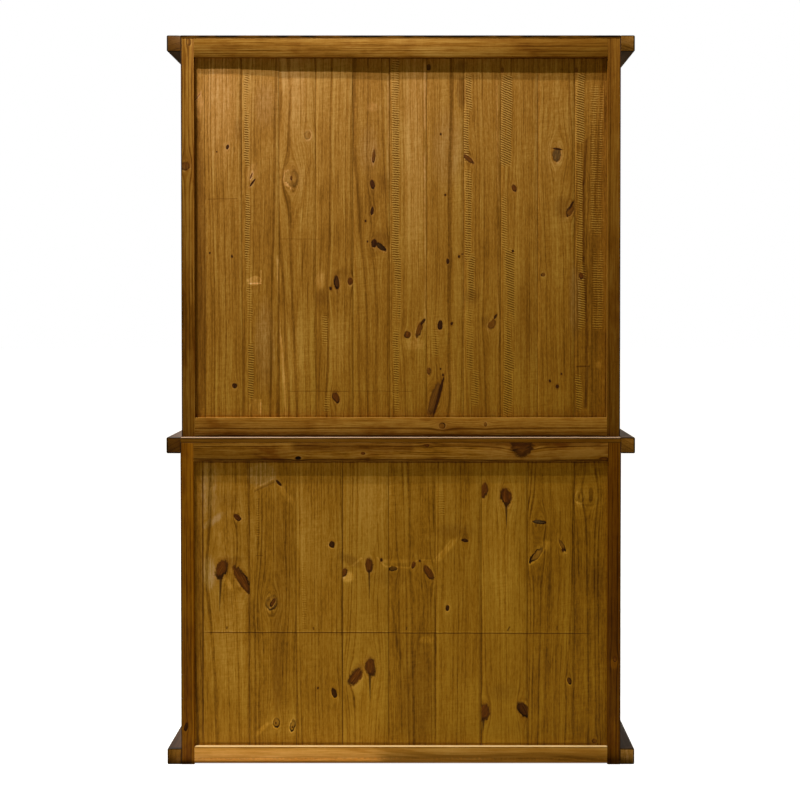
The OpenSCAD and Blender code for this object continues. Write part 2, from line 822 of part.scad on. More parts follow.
// ---------------------------------------------------------------- knobs
// A turned knob with its base at the origin, standing out towards -Y, and its screw behind it
module knob() {
  rim_r = knob_out / 6;
  neck_r = knob_flange_r * 0.55;
  flange_t = 3;
  rotate([90, 0, 0]) {
    difference() {
      union() {
        cylinder(r = knob_flange_r, h = flange_t);
        translate([0, 0, flange_t]) cylinder(r1 = neck_r * 1.25, r2 = neck_r, h = knob_out / 2 - flange_t);
        translate([0, 0, knob_out / 2]) cylinder(r1 = neck_r, r2 = knob_r - rim_r / 2, h = knob_out / 6);
        translate([0, 0, knob_out - 2 * rim_r])
          rotate_extrude() {
            square([knob_r - rim_r, 2 * rim_r]);
            translate([knob_r - rim_r, rim_r]) intersection() {
              circle(rim_r);
              translate([0, -rim_r]) square(2 * rim_r);
            }
          }
      }
      translate([0, 0, -1]) cylinder(r = screw_r, h = knob_out / 2 + 1);
    }
  }
  rotate([-90, 0, 0]) {
    translate([0, 0, -knob_out / 2]) cylinder(r = screw_r, h = knob_out / 2 + door_t);
    translate([0, 0, door_t]) cylinder(r = 2 * screw_r, h = screw_r);
  }
}

module door_knob(side, face_y, door_z, knob_z) {
  color(IRON) place_door(side, face_y, door_z + door_gap) translate([door_w - stile_w / 2, 0, knob_z]) knob();
}

// ---------------------------------------------------------------- drawers
// A drawer's own frame has the middle of its front face at X 0, Y 0, and Z 0 on the rail below the opening
module place_drawer(side) {
  translate([side * (centre_stile_w / 2 + opening_w / 2), front_y, drawer_z]) children();
}

box_w = opening_w - 2 * drawer_side_gap;
box_z = run_gap;
drawer_front = [[-opening_w / 2 + door_gap, 0, door_gap], [opening_w / 2 - door_gap, door_t, drawer_opening_h - door_gap]];
function drawer_side(side) =
  mirrored([[box_w / 2 - drawer_side_t, door_t, box_z], [box_w / 2, door_t + drawer_l, box_z + drawer_side_h]], side);
drawer_back = [
  [-box_w / 2 + drawer_side_t, door_t + drawer_l - 2 * drawer_side_t, box_z + drawer_bottom_z + drawer_bottom_t],
  [box_w / 2 - drawer_side_t, door_t + drawer_l - drawer_side_t, box_z + drawer_side_h]];

// Space for the bottom board: the inside of the box and the grooves in front and sides
module drawer_bottom_space(grow) {
  timber([
    [-box_w / 2 + drawer_side_t - drawer_groove_d - grow, door_t - drawer_groove_d - grow,
      box_z + drawer_bottom_z - grow],
    [box_w / 2 - drawer_side_t + drawer_groove_d + grow, door_t + drawer_l + grow,
      box_z + drawer_bottom_z + drawer_bottom_t + grow]]);
}

// Tails on the front end of a side, each a trapezium seen from the side
module dovetail_set(side, grow) {
  pitch = (drawer_side_h - drawer_bottom_z) / dovetails;
  x = side > 0 ? box_w / 2 - drawer_side_t - grow : -box_w / 2 - grow;
  for (i = [0:dovetails - 1])
    translate([x, door_t, box_z + drawer_bottom_z + (i + 0.5) * pitch])
      rotate([90, 0, 90])
        linear_extrude(drawer_side_t + 2 * grow)
          polygon([
            [0, -dovetail_w / 2 - grow], [0, dovetail_w / 2 + grow],
            [-dovetail_l - grow, dovetail_w / 2 + dovetail_flare + grow],
            [-dovetail_l - grow, -dovetail_w / 2 - dovetail_flare - grow]]);
}

module drawer_front(side) {
  color(STAIN)
    place_drawer(side)
      difference() {
        timber(drawer_front);
        for (end = [LEFT, RIGHT]) {
          dovetail_set(end, fit);
          translate([end * drawer_knob_x, -1, drawer_opening_h / 2])
            rotate([-90, 0, 0]) cylinder(r = screw_r + fit, h = door_t + 2);
        }
        drawer_bottom_space(fit);
      }
}

module drawer_box(side) {
  housing = [
    [-box_w / 2 + drawer_side_t - drawer_groove_d, drawer_back[0][1], drawer_back[0][2]],
    [box_w / 2 - drawer_side_t + drawer_groove_d, drawer_back[1][1], drawer_back[1][2]]];
  color(PINE)
    place_drawer(side) {
      for (end = [LEFT, RIGHT])
        difference() {
          union() {
            timber(drawer_side(end));
            dovetail_set(end, 0);
          }
          drawer_bottom_space(fit);
          timber(grown(housing, fit));
        }
      timber(housing);
    }
}

module drawer_bottom(side) {
  color(PINE) place_drawer(side) intersection() {
    drawer_bottom_space(0);
    timber([[-opening_w, 0, 0], [opening_w, door_t + drawer_l - drawer_side_t, drawer_opening_h]]);
  }
}

module drawer_knobs(side) {
  color(IRON)
    place_drawer(side)
      for (end = [LEFT, RIGHT]) translate([end * drawer_knob_x, 0, drawer_opening_h / 2]) knob();
}

// Bars that run from the front frame to the back, one at each side and a wider one in the middle
function run_bars(z, h, high_y) =
  let (low_y = front_y + rail_t, reach = centre_stile_w / 2 + drawer_side_gap + drawer_side_t)
  [[[-reach, low_y, z], [reach, high_y, z + h]],
   [[inner_x - runner_w, low_y, z], [inner_x, high_y, z + h]],
   [[-inner_x, low_y, z], [-inner_x + runner_w, high_y, z + h]]];

module cut_round_front_posts() {
  difference() {
    children();
    for (side = [LEFT, RIGHT]) timber(grown(mirrored(front_post(base_case), side), fit));
  }
}

// Runners under the drawers, and the rail along the back that carries them
module drawer_runners() {
  color(PINE) {
    for (bar = run_bars(drawer_z - runner_t, runner_t, board_face(base_case) - fit))
      cut_round_front_posts() timber(bar);
    timber([
      [-inner_x, board_face(base_case) - fit - runner_t, drawer_z - 2 * runner_t],
      [inner_x, board_face(base_case) - fit, drawer_z - runner_t - glue_line]]);
  }
}

// Guides beside the drawers, kickers above them and stops behind them
module drawer_guides() {
  guide_x = opening_x - drawer_side_gap + run_gap;
  centre_x = centre_stile_w / 2 + drawer_side_gap - run_gap;
  stop_y = front_y + door_t + drawer_l + stop_gap;
  color(PINE) {
    for (bar = run_bars(drawer_top, runner_t, back_y - rail_t))
      cut_round_front_posts() timber(bar);
    timber([[-centre_x, front_y + rail_t, drawer_z], [centre_x, board_face(base_case) - fit, drawer_z + guide_h]]);
    for (side = [LEFT, RIGHT]) {
      timber(mirrored(
        [[guide_x, front_y + post_d, drawer_z], [inner_x, board_face(base_case) - fit, drawer_z + guide_h]], side));
      timber(mirrored(
        [[inner_x - runner_w, stop_y, drawer_z], [guide_x - glue_line, stop_y + stop_h, drawer_z + stop_h]], side));
      timber(mirrored(
        [[centre_x + glue_line, stop_y, drawer_z],
         [centre_x + run_gap + drawer_side_t, stop_y + stop_h, drawer_z + stop_h]], side));
    }
  }
}

// ---------------------------------------------------------------- the model
base_side_frame(LEFT);  // base_left_side_frame
base_side_frame(RIGHT);  // base_right_side_frame
base_side_boards();
base_back_rail(1);  // base_back_top_rail
base_back_rail(0);  // base_back_bottom_rail
base_back_boards();
base_front_frame();
base_floor_board();
base_shelf();
shelf_battens();
drawer_runners();
drawer_guides();
counter_top();
moulding_set(base_case, upper_z - moulding_h);  // waist_mouldings
moulding_set(base_case, 0);  // base_mouldings
upper_side_frame(LEFT);  // upper_left_side_frame
upper_side_frame(RIGHT);  // upper_right_side_frame
upper_side_boards();
upper_back_rail(1);  // upper_back_top_rail
upper_back_rail(0);  // upper_back_bottom_rail
upper_back_boards();
upper_front_frame();
upper_floor_board();
upper_shelves();
top_board();
moulding_set(upper_case, top_z - moulding_h);  // cornice_mouldings
hinge_case_leaves();
hinge_pins();
door_catches();
door_stops();
lower_door_frame(LEFT);  // lower_left_door_frame
lower_door_panel(LEFT);  // lower_left_door_panel
door_knob(LEFT, front_y, lower_door_z, lower_knob_z);  // lower_left_door_knob
door_leaves(LEFT, front_y, lower_hinge_zs);  // lower_left_door_leaves
lower_door_frame(RIGHT);  // lower_right_door_frame
lower_door_panel(RIGHT);  // lower_right_door_panel
door_knob(RIGHT, front_y, lower_door_z, lower_knob_z);  // lower_right_door_knob
door_leaves(RIGHT, front_y, lower_hinge_zs);  // lower_right_door_leaves
upper_door_frame(LEFT);  // upper_left_door_frame
upper_door_bars(LEFT);  // upper_left_door_bars
upper_door_glass(LEFT);  // upper_left_door_glass
upper_door_beads(LEFT);  // upper_left_door_beads
door_knob(LEFT, upper_front_y, upper_door_z, upper_knob_z);  // upper_left_door_knob
door_leaves(LEFT, upper_front_y, upper_hinge_zs);  // upper_left_door_leaves
upper_door_frame(RIGHT);  // upper_right_door_frame
upper_door_bars(RIGHT);  // upper_right_door_bars
upper_door_glass(RIGHT);  // upper_right_door_glass
upper_door_beads(RIGHT);  // upper_right_door_beads
door_knob(RIGHT, upper_front_y, upper_door_z, upper_knob_z);  // upper_right_door_knob
door_leaves(RIGHT, upper_front_y, upper_hinge_zs);  // upper_right_door_leaves
drawer_front(LEFT);  // left_drawer_front
drawer_box(LEFT);  // left_drawer_box
drawer_bottom(LEFT);  // left_drawer_bottom
drawer_knobs(LEFT);  // left_drawer_knobs
drawer_front(RIGHT);  // right_drawer_front
drawer_box(RIGHT);  // right_drawer_box
drawer_bottom(RIGHT);  // right_drawer_bottom
drawer_knobs(RIGHT);  // right_drawer_knobs
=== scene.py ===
"""Looks of the step back cupboard: pine materials, eased edges, back boards, light and camera. Metres, CAD frame."""

import math

import bmesh
import bpy
import numpy as np
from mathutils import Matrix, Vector


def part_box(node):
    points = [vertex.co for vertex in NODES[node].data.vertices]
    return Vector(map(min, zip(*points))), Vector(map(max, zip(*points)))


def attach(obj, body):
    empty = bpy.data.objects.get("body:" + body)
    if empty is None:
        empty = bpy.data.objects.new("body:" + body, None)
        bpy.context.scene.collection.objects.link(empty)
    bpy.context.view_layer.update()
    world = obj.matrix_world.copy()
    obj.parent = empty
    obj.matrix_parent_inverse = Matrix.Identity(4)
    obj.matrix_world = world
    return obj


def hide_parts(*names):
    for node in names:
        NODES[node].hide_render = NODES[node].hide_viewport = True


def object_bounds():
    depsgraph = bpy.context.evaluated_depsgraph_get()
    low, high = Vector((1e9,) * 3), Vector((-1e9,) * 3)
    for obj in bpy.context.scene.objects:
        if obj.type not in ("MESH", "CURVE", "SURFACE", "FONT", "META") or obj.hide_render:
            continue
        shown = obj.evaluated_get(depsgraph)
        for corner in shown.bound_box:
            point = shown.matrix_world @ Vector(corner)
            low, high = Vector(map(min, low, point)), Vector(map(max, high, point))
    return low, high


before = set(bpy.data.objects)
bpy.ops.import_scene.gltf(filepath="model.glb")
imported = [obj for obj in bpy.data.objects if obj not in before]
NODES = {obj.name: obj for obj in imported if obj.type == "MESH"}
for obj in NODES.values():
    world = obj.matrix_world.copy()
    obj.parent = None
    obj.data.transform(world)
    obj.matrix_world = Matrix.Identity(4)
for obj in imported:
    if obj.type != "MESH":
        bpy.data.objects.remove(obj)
cad_box = [list(corner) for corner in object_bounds()]

# ---- camera: behind the cupboard, as in the photograph
IMAGE = 800
LENS, SENSOR = 46.38, 36.0
CAM_AT = Vector((-0.0736, 3.2555, 1.334))
CAM_PITCH = math.radians(0.75)
SHIFT_X, SHIFT_Y = -0.0325, -0.0973

camera_data = bpy.data.cameras.new("camera")
camera_data.lens, camera_data.sensor_width = LENS, SENSOR
camera_data.shift_x, camera_data.shift_y = SHIFT_X, SHIFT_Y
camera = bpy.data.objects.new("camera", camera_data)
camera.location = CAM_AT
camera.rotation_euler = (math.pi / 2 - CAM_PITCH, 0, math.pi)
bpy.context.scene.collection.objects.link(camera)
bpy.context.scene.camera = camera
bpy.context.view_layer.update()


def behind(px, py, y):
    """X and Z, in metres, of the point at depth y that the photograph shows at pixel px, py."""
    focal = LENS / SENSOR * IMAGE
    ray = Vector(((px - IMAGE / 2) / focal + SHIFT_X * SENSOR / LENS,
                  -(py - IMAGE / 2) / focal + SHIFT_Y * SENSOR / LENS, -1))
    ray = camera.matrix_world.to_3x3() @ ray
    hit = CAM_AT + ray * ((y - CAM_AT.y) / ray.y)
    return hit.x, hit.z


# ---- shader arithmetic
def srgb(r, g, b):
    """Linear colour from the values that a paint chart gives."""
    return tuple(((c / 255 + 0.055) / 1.055) ** 2.4 if c > 10 else c / 255 / 12.92 for c in (r, g, b)) + (1,)


class Wire:
    """A node's output. Arithmetic on it adds Math nodes."""

    def __init__(self, tree, socket):
        self.tree, self.socket = tree, socket

    def math(self, operation, *others, clamp=False):
        made = self.tree.nodes.new("ShaderNodeMath")
        made.operation, made.use_clamp = operation, clamp
        for place, value in zip(made.inputs, (self, *others)):
            put(place, value)
        return Wire(self.tree, made.outputs[0])

    def __add__(self, o):
        return self.math("ADD", o)

    def __sub__(self, o):
        return self.math("SUBTRACT", o)

    def __mul__(self, o):
        return self.math("MULTIPLY", o)

    def __truediv__(self, o):
        return self.math("DIVIDE", o)

    __radd__, __rmul__ = __add__, __mul__

    def __abs__(self):
        return self.math("ABSOLUTE")

    def step(self, low, high):
        """0 below low and 1 above high, smooth between; falls instead where low is above high."""
        made = self.tree.nodes.new("ShaderNodeMapRange")
        made.interpolation_type = "SMOOTHSTEP"
        for name, value in (("Value", self), ("From Min", low), ("From Max", high)):
            put(made.inputs[name], value)
        return Wire(self.tree, made.outputs[0])


def put(place, value):
    if isinstance(value, Wire):
        value.tree.links.new(value.socket, place)
    else:
        place.default_value = value


def node(tree, kind, out=0, inputs=None, **settings):
    """A new node with some settings and inputs. Returns its output as a Wire."""
    made = tree.nodes.new("ShaderNode" + kind)
    for name, value in settings.items():
        setattr(made, name, value)
    for name, value in (inputs or {}).items():
        put(made.inputs[name], value)
    return Wire(tree, made.outputs[out])


def tree_of(*values):
    """The node tree of the first Wire among some values."""
    return next(value.tree for value in values if isinstance(value, Wire))


def vector(x, y, z):
    return node(tree_of(x, y, z), "CombineXYZ", inputs={0: x, 1: y, 2: z})


def split(wire):
    made = wire.tree.nodes.new("ShaderNodeSeparateXYZ")
    put(made.inputs[0], wire)
    return [Wire(wire.tree, out) for out in made.outputs]


def noise(place, scale=1.0, detail=1.0, rough=0.5, dims="3D"):
    where = "W" if dims == "1D" else "Vector"
    inputs = {where: place, "Scale": scale, "Detail": detail, "Roughness": rough}
    return node(place.tree, "TexNoise", inputs=inputs, noise_dimensions=dims)


def mix(a, b, share, blend="MIX"):
    tree = tree_of(a, b, share)
    made = tree.nodes.new("ShaderNodeMix")
    made.data_type, made.blend_type = "RGBA", blend
    for place, value in ((0, share), (6, a), (7, b)):
        put(made.inputs[place], value)
    return Wire(tree, made.outputs[2])


def ramp(share, *stops):
    made = share.tree.nodes.new("ShaderNodeValToRGB")
    elements = made.color_ramp.elements
    while len(elements) < len(stops):
        elements.new(0.5)
    for element, (at, colour) in zip(elements, stops):
        element.position, element.color = at, colour
    put(made.inputs[0], share)
    return Wire(share.tree, made.outputs[0])


def node_group(ins, outs):
    """Makes a node group of a function of Wires, from the names of its inputs and outputs. Names of colours start with
    a capital C, the rest are numbers."""

    def made_of(build):
        tree = bpy.data.node_groups.new(build.__name__, "ShaderNodeTree")
        for direction, names in (("INPUT", ins), ("OUTPUT", outs)):
            for label in names.split():
                kind = "NodeSocketColor" if label[0] == "C" else "NodeSocketFloat"
                tree.interface.new_socket(label, in_out=direction, socket_type=kind)
        start, end = tree.nodes.new("NodeGroupInput"), tree.nodes.new("NodeGroupOutput")
        results = build(*[Wire(tree, start.outputs[label]) for label in ins.split()])
        for place, result in zip(end.inputs, results if isinstance(results, tuple) else (results,)):
            put(place, result)
        return tree

    return made_of


def use_group(group, **inputs):
    tree = tree_of(*inputs.values())
    made = tree.nodes.new("ShaderNodeGroup")
    made.node_tree = group
    for name, value in inputs.items():
        put(made.inputs[name], value)
    return [Wire(tree, out) for out in made.outputs]


# ---- the figure of pine
@node_group("u v w seed pith_u pith_v lean coarse", "tone fibre")
def grain_nodes(u, v, w, seed, pith_u, pith_v, lean, coarse):
    """Growth rings of a sawn board. u and v lie in its section, w is its length, the pith is to a side."""
    drift = noise(vector(u * 6, v * 6, w * 1.8 + seed * 13), detail=2) - 0.5
    sway = noise(w * 1.6 + seed * 29, dims="1D") - 0.5
    x = u - pith_u + drift * 0.004
    y = v + pith_v + lean * w + sway * 0.008
    radius = (x * x + y * y).math("SQRT")
    broad = noise(radius * 90 + seed * 7, detail=1, dims="1D") - 0.5
    lines = noise(radius * 200 + seed * 3, detail=2, rough=0.65, dims="1D")
    late = lines.step(0.43, 0.35)
    fibre = noise(vector(u * 340, v * 340, w * 10 + seed), detail=3, rough=0.65)
    grit = noise(vector(u * 240, v * 240, w * 80 + seed), detail=2, rough=0.6) - 0.5
    sawn = noise(vector(u * 26 + seed, v * 26, w * 230 + u * 30), detail=1.5, rough=0.6) - 0.5
    streak = noise(vector(u * 45, v * 45, w * 0.9 + seed * 3), detail=2, rough=0.6) - 0.5
    patch = noise(vector(u * 11, v * 11, w * 5 + seed * 5), detail=3, rough=0.62) - 0.5
    sawn = sawn * patch.step(-0.12, 0.15)
    rings = broad * 0.26 + (lines - 0.5) * 0.36 - late * 0.14
    rings = rings + (fibre - 0.5) * 0.85 + (grit * 0.55 + sawn * 0.34) * coarse
    tone = rings + streak * 0.34 + patch * 0.52 + 0.545
    return tone, fibre


PLACE = "u w at_u at_w wide tall turn"  # the inputs of an oval mark


def oval(u, w, at_u, at_w, wide, tall, turn):
    """Distance from an oval's middle, 1 at its rim. turn leans its top to the right as seen from behind."""
    du, dw = u - at_u, w - at_w
    cos, sin = turn.math("COSINE"), turn.math("SINE")
    p = (du * cos + dw * sin) / wide
    q = (dw * cos - du * sin) / tall
    return p, q, (p * p + q * q).math("SQRT")


@node_group(f"acc {PLACE} flow", "acc")
def flow_nodes(acc, u, w, at_u, at_w, wide, tall, turn, reach):
    """Pushes the lines of the grain round a knot, as a stream parts round a stone."""
    du = u - at_u
    size = (wide + tall * 0.25) * reach
    q = (w - at_w) / 2.2
    square = size * size
    return acc + du * square / (du * du + q * q + square * 0.4) * -1


@node_group(f"C_in {PLACE} body rim halo tail C_body", "C_out")
def knot_nodes(colour, u, w, at_u, at_w, wide, tall, turn, body, rim, halo, tail, c_body):
    """Paints one knot: halo, body, rim and the crack that runs down from it."""
    rough = noise(vector(u * 260, 0, w * 190), detail=2) - 0.5
    ragged = noise(vector(u * 95, at_w * 30, w * 62), detail=1.5, rough=0.6) - 0.5
    p, q, far = oval(u, w, at_u, at_w, wide, tall, turn)
    lopsided = (at_u * 700 + at_w * 400).math("SINE")
    far = far + ragged * 0.8 + rough * 0.4 + p * lopsided * 0.12
    side = (p * lopsided * 0.7 - q * 0.35 + 0.45).math("MAXIMUM", 0.05)
    hug = far.step(1.62, 1.3) * far.step(1.04, 1.22) * side
    pale = mix(colour, (1.7, 1.9, 4.0, 1), (far.step(2.8, 1.4) * 0.2 + hug * 1.5) * halo, "MULTIPLY")
    dusk = mix(pale, (0.66, 0.5, 0.28, 1), far.step(1.7, 1.0) * body * 0.6, "MULTIPLY")
    hatch = (noise(vector(p * 4.5 + q, at_u * 40, q * 0.9), detail=2, rough=0.7) - 0.5) * 2.4
    rings = (p * 5 + rough * 5 + q * 1.5).math("SINE") * 0.14 + hatch + 1
    inner = mix(c_body, vector(rings, rings, rings), 1.0, "MULTIPLY")
    inner = mix(inner, dusk, hatch.step(0.1, 0.75) * 0.45)
    shown = mix(dusk, inner, far.step(1.1, 0.9) * body)
    uneven = (q * -0.4 - p * lopsided * 0.5 + 0.75).math("MAXIMUM", 0.1)
    edge = far.step(0.6, 0.95) * far.step(1.24, 1.04) * rim * uneven
    shown = mix(shown, srgb(40, 16, 3), edge)
    down = (at_w - tall * 0.7 - w) / tail.math("MAXIMUM", 0.0001)
    line = abs(u - at_u + rough * 0.0014 - down * turn * tail * 0.12) / (wide * 0.3 + 0.0002)
    crack = (line + down * 0.9).step(1.25, 0.6) * down.step(-0.02, 0.02) * down.step(1.02, 0.9)
    return mix(shown, srgb(66, 34, 8), crack * tail.step(0, 0.002) * 0.85)


@node_group("C_in u w at_u at_w wide C_body", "C_out")
def pin_nodes(colour, u, w, at_u, at_w, size, c_body):
    """Paints a pin knot or a nail hole: a small dark spot in a dusky ring."""
    du, dw = u - at_u, (w - at_w) * 0.75
    rough = noise(vector(u * 240, at_w * 9, w * 190), detail=1) - 0.5
    far = (du * du + dw * dw).math("SQRT") / size + rough * 0.9
    dusk = mix(colour, (0.66, 0.5, 0.28, 1), far.step(2.0, 1.0) * 0.6, "MULTIPLY")
    return mix(dusk, c_body, far.step(1.15, 0.7))


@node_group(f"C_in {PLACE} strength hard C_tint", "C_out")
def cloud_nodes(colour, u, w, at_u, at_w, wide, tall, turn, strength, hard, c_tint):
    """Tints a soft, ragged oval."""
    rough = noise(vector(u * 110, at_u * 50, w * 45), detail=3, rough=0.6) - 0.5
    _, _, far = oval(u, w, at_u, at_w, wide, tall, turn)
    mask = (far + rough * 0.9).step(hard * -0.5 + 1.55, hard * 0.4 + 0.5)
    return mix(colour, c_tint, mask * strength, "MULTIPLY")


@node_group("C_in u w u0 w0 u1 w1 wide strength C_tint", "C_out")
def streak_nodes(colour, u, w, u0, w0, u1, w1, wide, strength, c_tint):
    """Tints a line from one place to another, thin towards its ends."""
    du, dw = u1 - u0, w1 - w0
    share = ((u - u0) * du + (w - w0) * dw) / (du * du + dw * dw)
    wander = (noise((u + w) * 28 + u0 * 9, detail=1, dims="1D") - 0.5) * 0.0025
    away = abs(((u - u0) * dw - (w - w0) * du) / (du * du + dw * dw).math("SQRT") + wander)
    ends = share.step(-0.02, 0.05) * share.step(1.02, 0.95)
    return mix(colour, c_tint, (away / wide).step(1.1, 0.35) * ends * strength, "MULTIPLY")


@node_group("tone u w at_u at_w wide long strength", "tone")
def vee_nodes(tone, u, w, at_u, top, wide, long, strength):
    """A cathedral: growth lines that meet in a point below."""
    down = (top - w) / long
    wander = (noise(vector(u * 60, 0, w * 12), detail=1) - 0.5) * 0.25
    across = abs(u - at_u) / wide
    bow = across * 0.7 + across * across * 0.3 + down + wander
    lines = noise(bow * 5.5 + at_u * 3, detail=2, rough=0.7, dims="1D") - 0.5
    inside = bow.step(1.22, 0.98) * down.step(-0.25, 0.12)
    rim = bow.step(0.86, 1.0) * bow.step(1.16, 1.04) * down.step(-0.1, 0.1)
    return tone + (lines * 0.9 - 0.05) * inside * strength - rim * strength * 0.3


CHATTER_PITCH = 0.0069  # between two marks of the planer's knives


@node_group("u w at_u high low wide slant seed strength", "tone")
def chatter_nodes(u, w, at_u, high, low, wide, slant, seed, strength):
    """A band of ripples that the planer left: short light dashes with some slant as painted highlights, and painted
    shade between them. They go into the bump as well as the colour.
    """
    du = u - at_u
    uneven = noise(vector(seed * 11, u * 40, w * 6), detail=2, rough=0.6).step(0.3, 0.58)
    jitter = noise(vector(u * 100, seed * 3, w * 55), detail=1.5)
    wave = ((w - du * slant) * (2 * math.pi / CHATTER_PITCH) + jitter * 4).math("SINE")
    ragged = noise(vector(seed, 0, w * 35), detail=1) - 0.5
    band = (abs(du + ragged * 0.012) / wide).step(1.15, 0.5)
    length = (w - high).step(0.01, -0.015) * (w - low).step(-0.01, 0.015)
    return (wave.step(-0.2, 0.9) - 0.26) * band * length * uneven * strength


HONEY = (srgb(134, 87, 20), srgb(188, 131, 51), srgb(220, 170, 91))
LOW_HONEY = (srgb(124, 75, 5), srgb(185, 122, 14), srgb(210, 152, 40))
DEEP_HONEY = (srgb(122, 78, 10), srgb(185, 130, 43), srgb(212, 162, 92))
BODY_BROWN, BODY_DARK, BODY_PALE = srgb(112, 60, 12), srgb(68, 34, 10), srgb(196, 142, 70)
PALE, BROWN, GREY, DARK = (1.6, 1.75, 3.2, 1), (0.5, 0.4, 0.2, 1), (1.2, 1.45, 4.6, 1), (0.25, 0.15, 0.07, 1)


def pine(tone, honey):
    return ramp(tone, (0.16, honey[0]), (0.5, honey[1]), (0.84, honey[2]))


def surface(name, rough=0.42):
    """A material with one Principled shader. Returns it, its tree and a function that plugs things in."""
    material = bpy.data.materials.new(name)
    material.use_nodes = True
    tree = material.node_tree
    shader = tree.nodes["Principled BSDF"]
    shader.inputs["Roughness"].default_value = rough

    def plug(**values):
        for key, value in values.items():
            put(shader.inputs[key.replace("_", " ")], value)

    return material, tree, plug


def bump(height, strength, distance=0.001):
    return node(height.tree, "Bump", inputs={"Height": height, "Strength": strength, "Distance": distance})


def attribute(tree, name):
    return node(tree, "Attribute", out=2, attribute_name=name)


# ---- marks on the pine
# px and py are places in the photograph. Sizes are in millimetres and turns in degrees until mark() converts them
def mark(group, *places, turn=0, spread=0, **values):
    """A mark's values, under the names of its node group's inputs. Each of places names two inputs, for X and Z, and
    the pixel where they lie. spread is how many widths the mark reaches past that."""
    metres = {name: values[name] / 1000 for name in ("wide", "tall", "tail", "long") if name in values}
    return {**values, **metres, "group": group, "places": places, "turn": math.radians(turn), "spread": spread}


def knot(px, py, wide, tall, turn=0, body=1.0, rim=0.7, halo=0.3, tail=0, colour=BODY_BROWN, flow=1.0):
    return mark(knot_nodes, ("at_u", "at_w", px, py), turn=turn, wide=wide, tall=tall, body=body, rim=rim, halo=halo,
                tail=tail, flow=flow, C_body=colour)


def dark(*shape, **rest):
    return knot(*shape, colour=BODY_DARK, **rest)


def pin(px, py, size=2.4):
    return mark(pin_nodes, ("at_u", "at_w", px, py), wide=size, C_body=BODY_DARK)


def cloud(px, py, wide, tall, tint, strength, turn=0, hard=0.0):
    return mark(cloud_nodes, ("at_u", "at_w", px, py), turn=turn, spread=1.4, wide=wide, tall=tall, strength=strength,
                hard=hard, C_tint=tint)


def streak(px0, py0, px1, py1, wide, tint, strength):
    return mark(streak_nodes, ("u0", "w0", px0, py0), ("u1", "w1", px1, py1), spread=1, wide=wide, strength=strength,
                C_tint=tint)


def vee(px, py, wide, long, strength):
    return mark(vee_nodes, ("at_u", "at_w", px, py), wide=wide, long=long, strength=strength)


def ripples(px, py0, py1, wide, slant, strength=0.7):
    return mark(chatter_nodes, ("at_u", "low", px, py1), ("at_u", "high", px, py0), wide=wide, slant=slant,
                seed=px * 0.37, strength=strength * 2.3)


def each(make, *rows):
    return [make(*row) for row in rows]


def on(y, *marks, level=False):
    """Marks on a timber's face at depth y. On a level timber the two axes of a knot change places."""
    return [dict(m, y=y, level=level) for m in marks]


def touches(m, x0, x1, face):
    """Whether a mark lies on the board between x0 and x1. A knot ends at the joints."""
    ends = [behind(px, IMAGE / 2, face)[0] for _, _, px, _ in m["places"]]
    reach = m["wide"] * m["spread"]
    return min(ends) - reach < x1 and max(ends) + reach >= x0


def lay(value, marks, x, z, face=None, group=None):
    """Runs a colour or a tone through each mark's node group, or through one group with each mark's values."""
    for m in marks:
        values = dict(m, u=x, w=z)
        for u_name, w_name, px, py in m["places"]:
            values[u_name], values[w_name] = behind(px, py, m.get("y", face))
        if m.get("level") and m["group"] == knot_nodes:
            values.update(u=z, w=x, at_u=values["at_w"], at_w=values["at_u"], wide=m["tall"], tall=m["wide"])
        made = value.tree.nodes.new("ShaderNodeGroup")
        made.node_tree = group or m["group"]
        put(made.inputs[0], value)
        for place in made.inputs[1:]:
            put(place, values[place.name])
        value = Wire(value.tree, made.outputs[0])
    return value


def pushed_by(start, marks, x, z, face=None):
    """How far the knots push the grain sideways."""
    return lay(start, [m for m in marks if m["group"] == knot_nodes], x, z, face, flow_nodes)
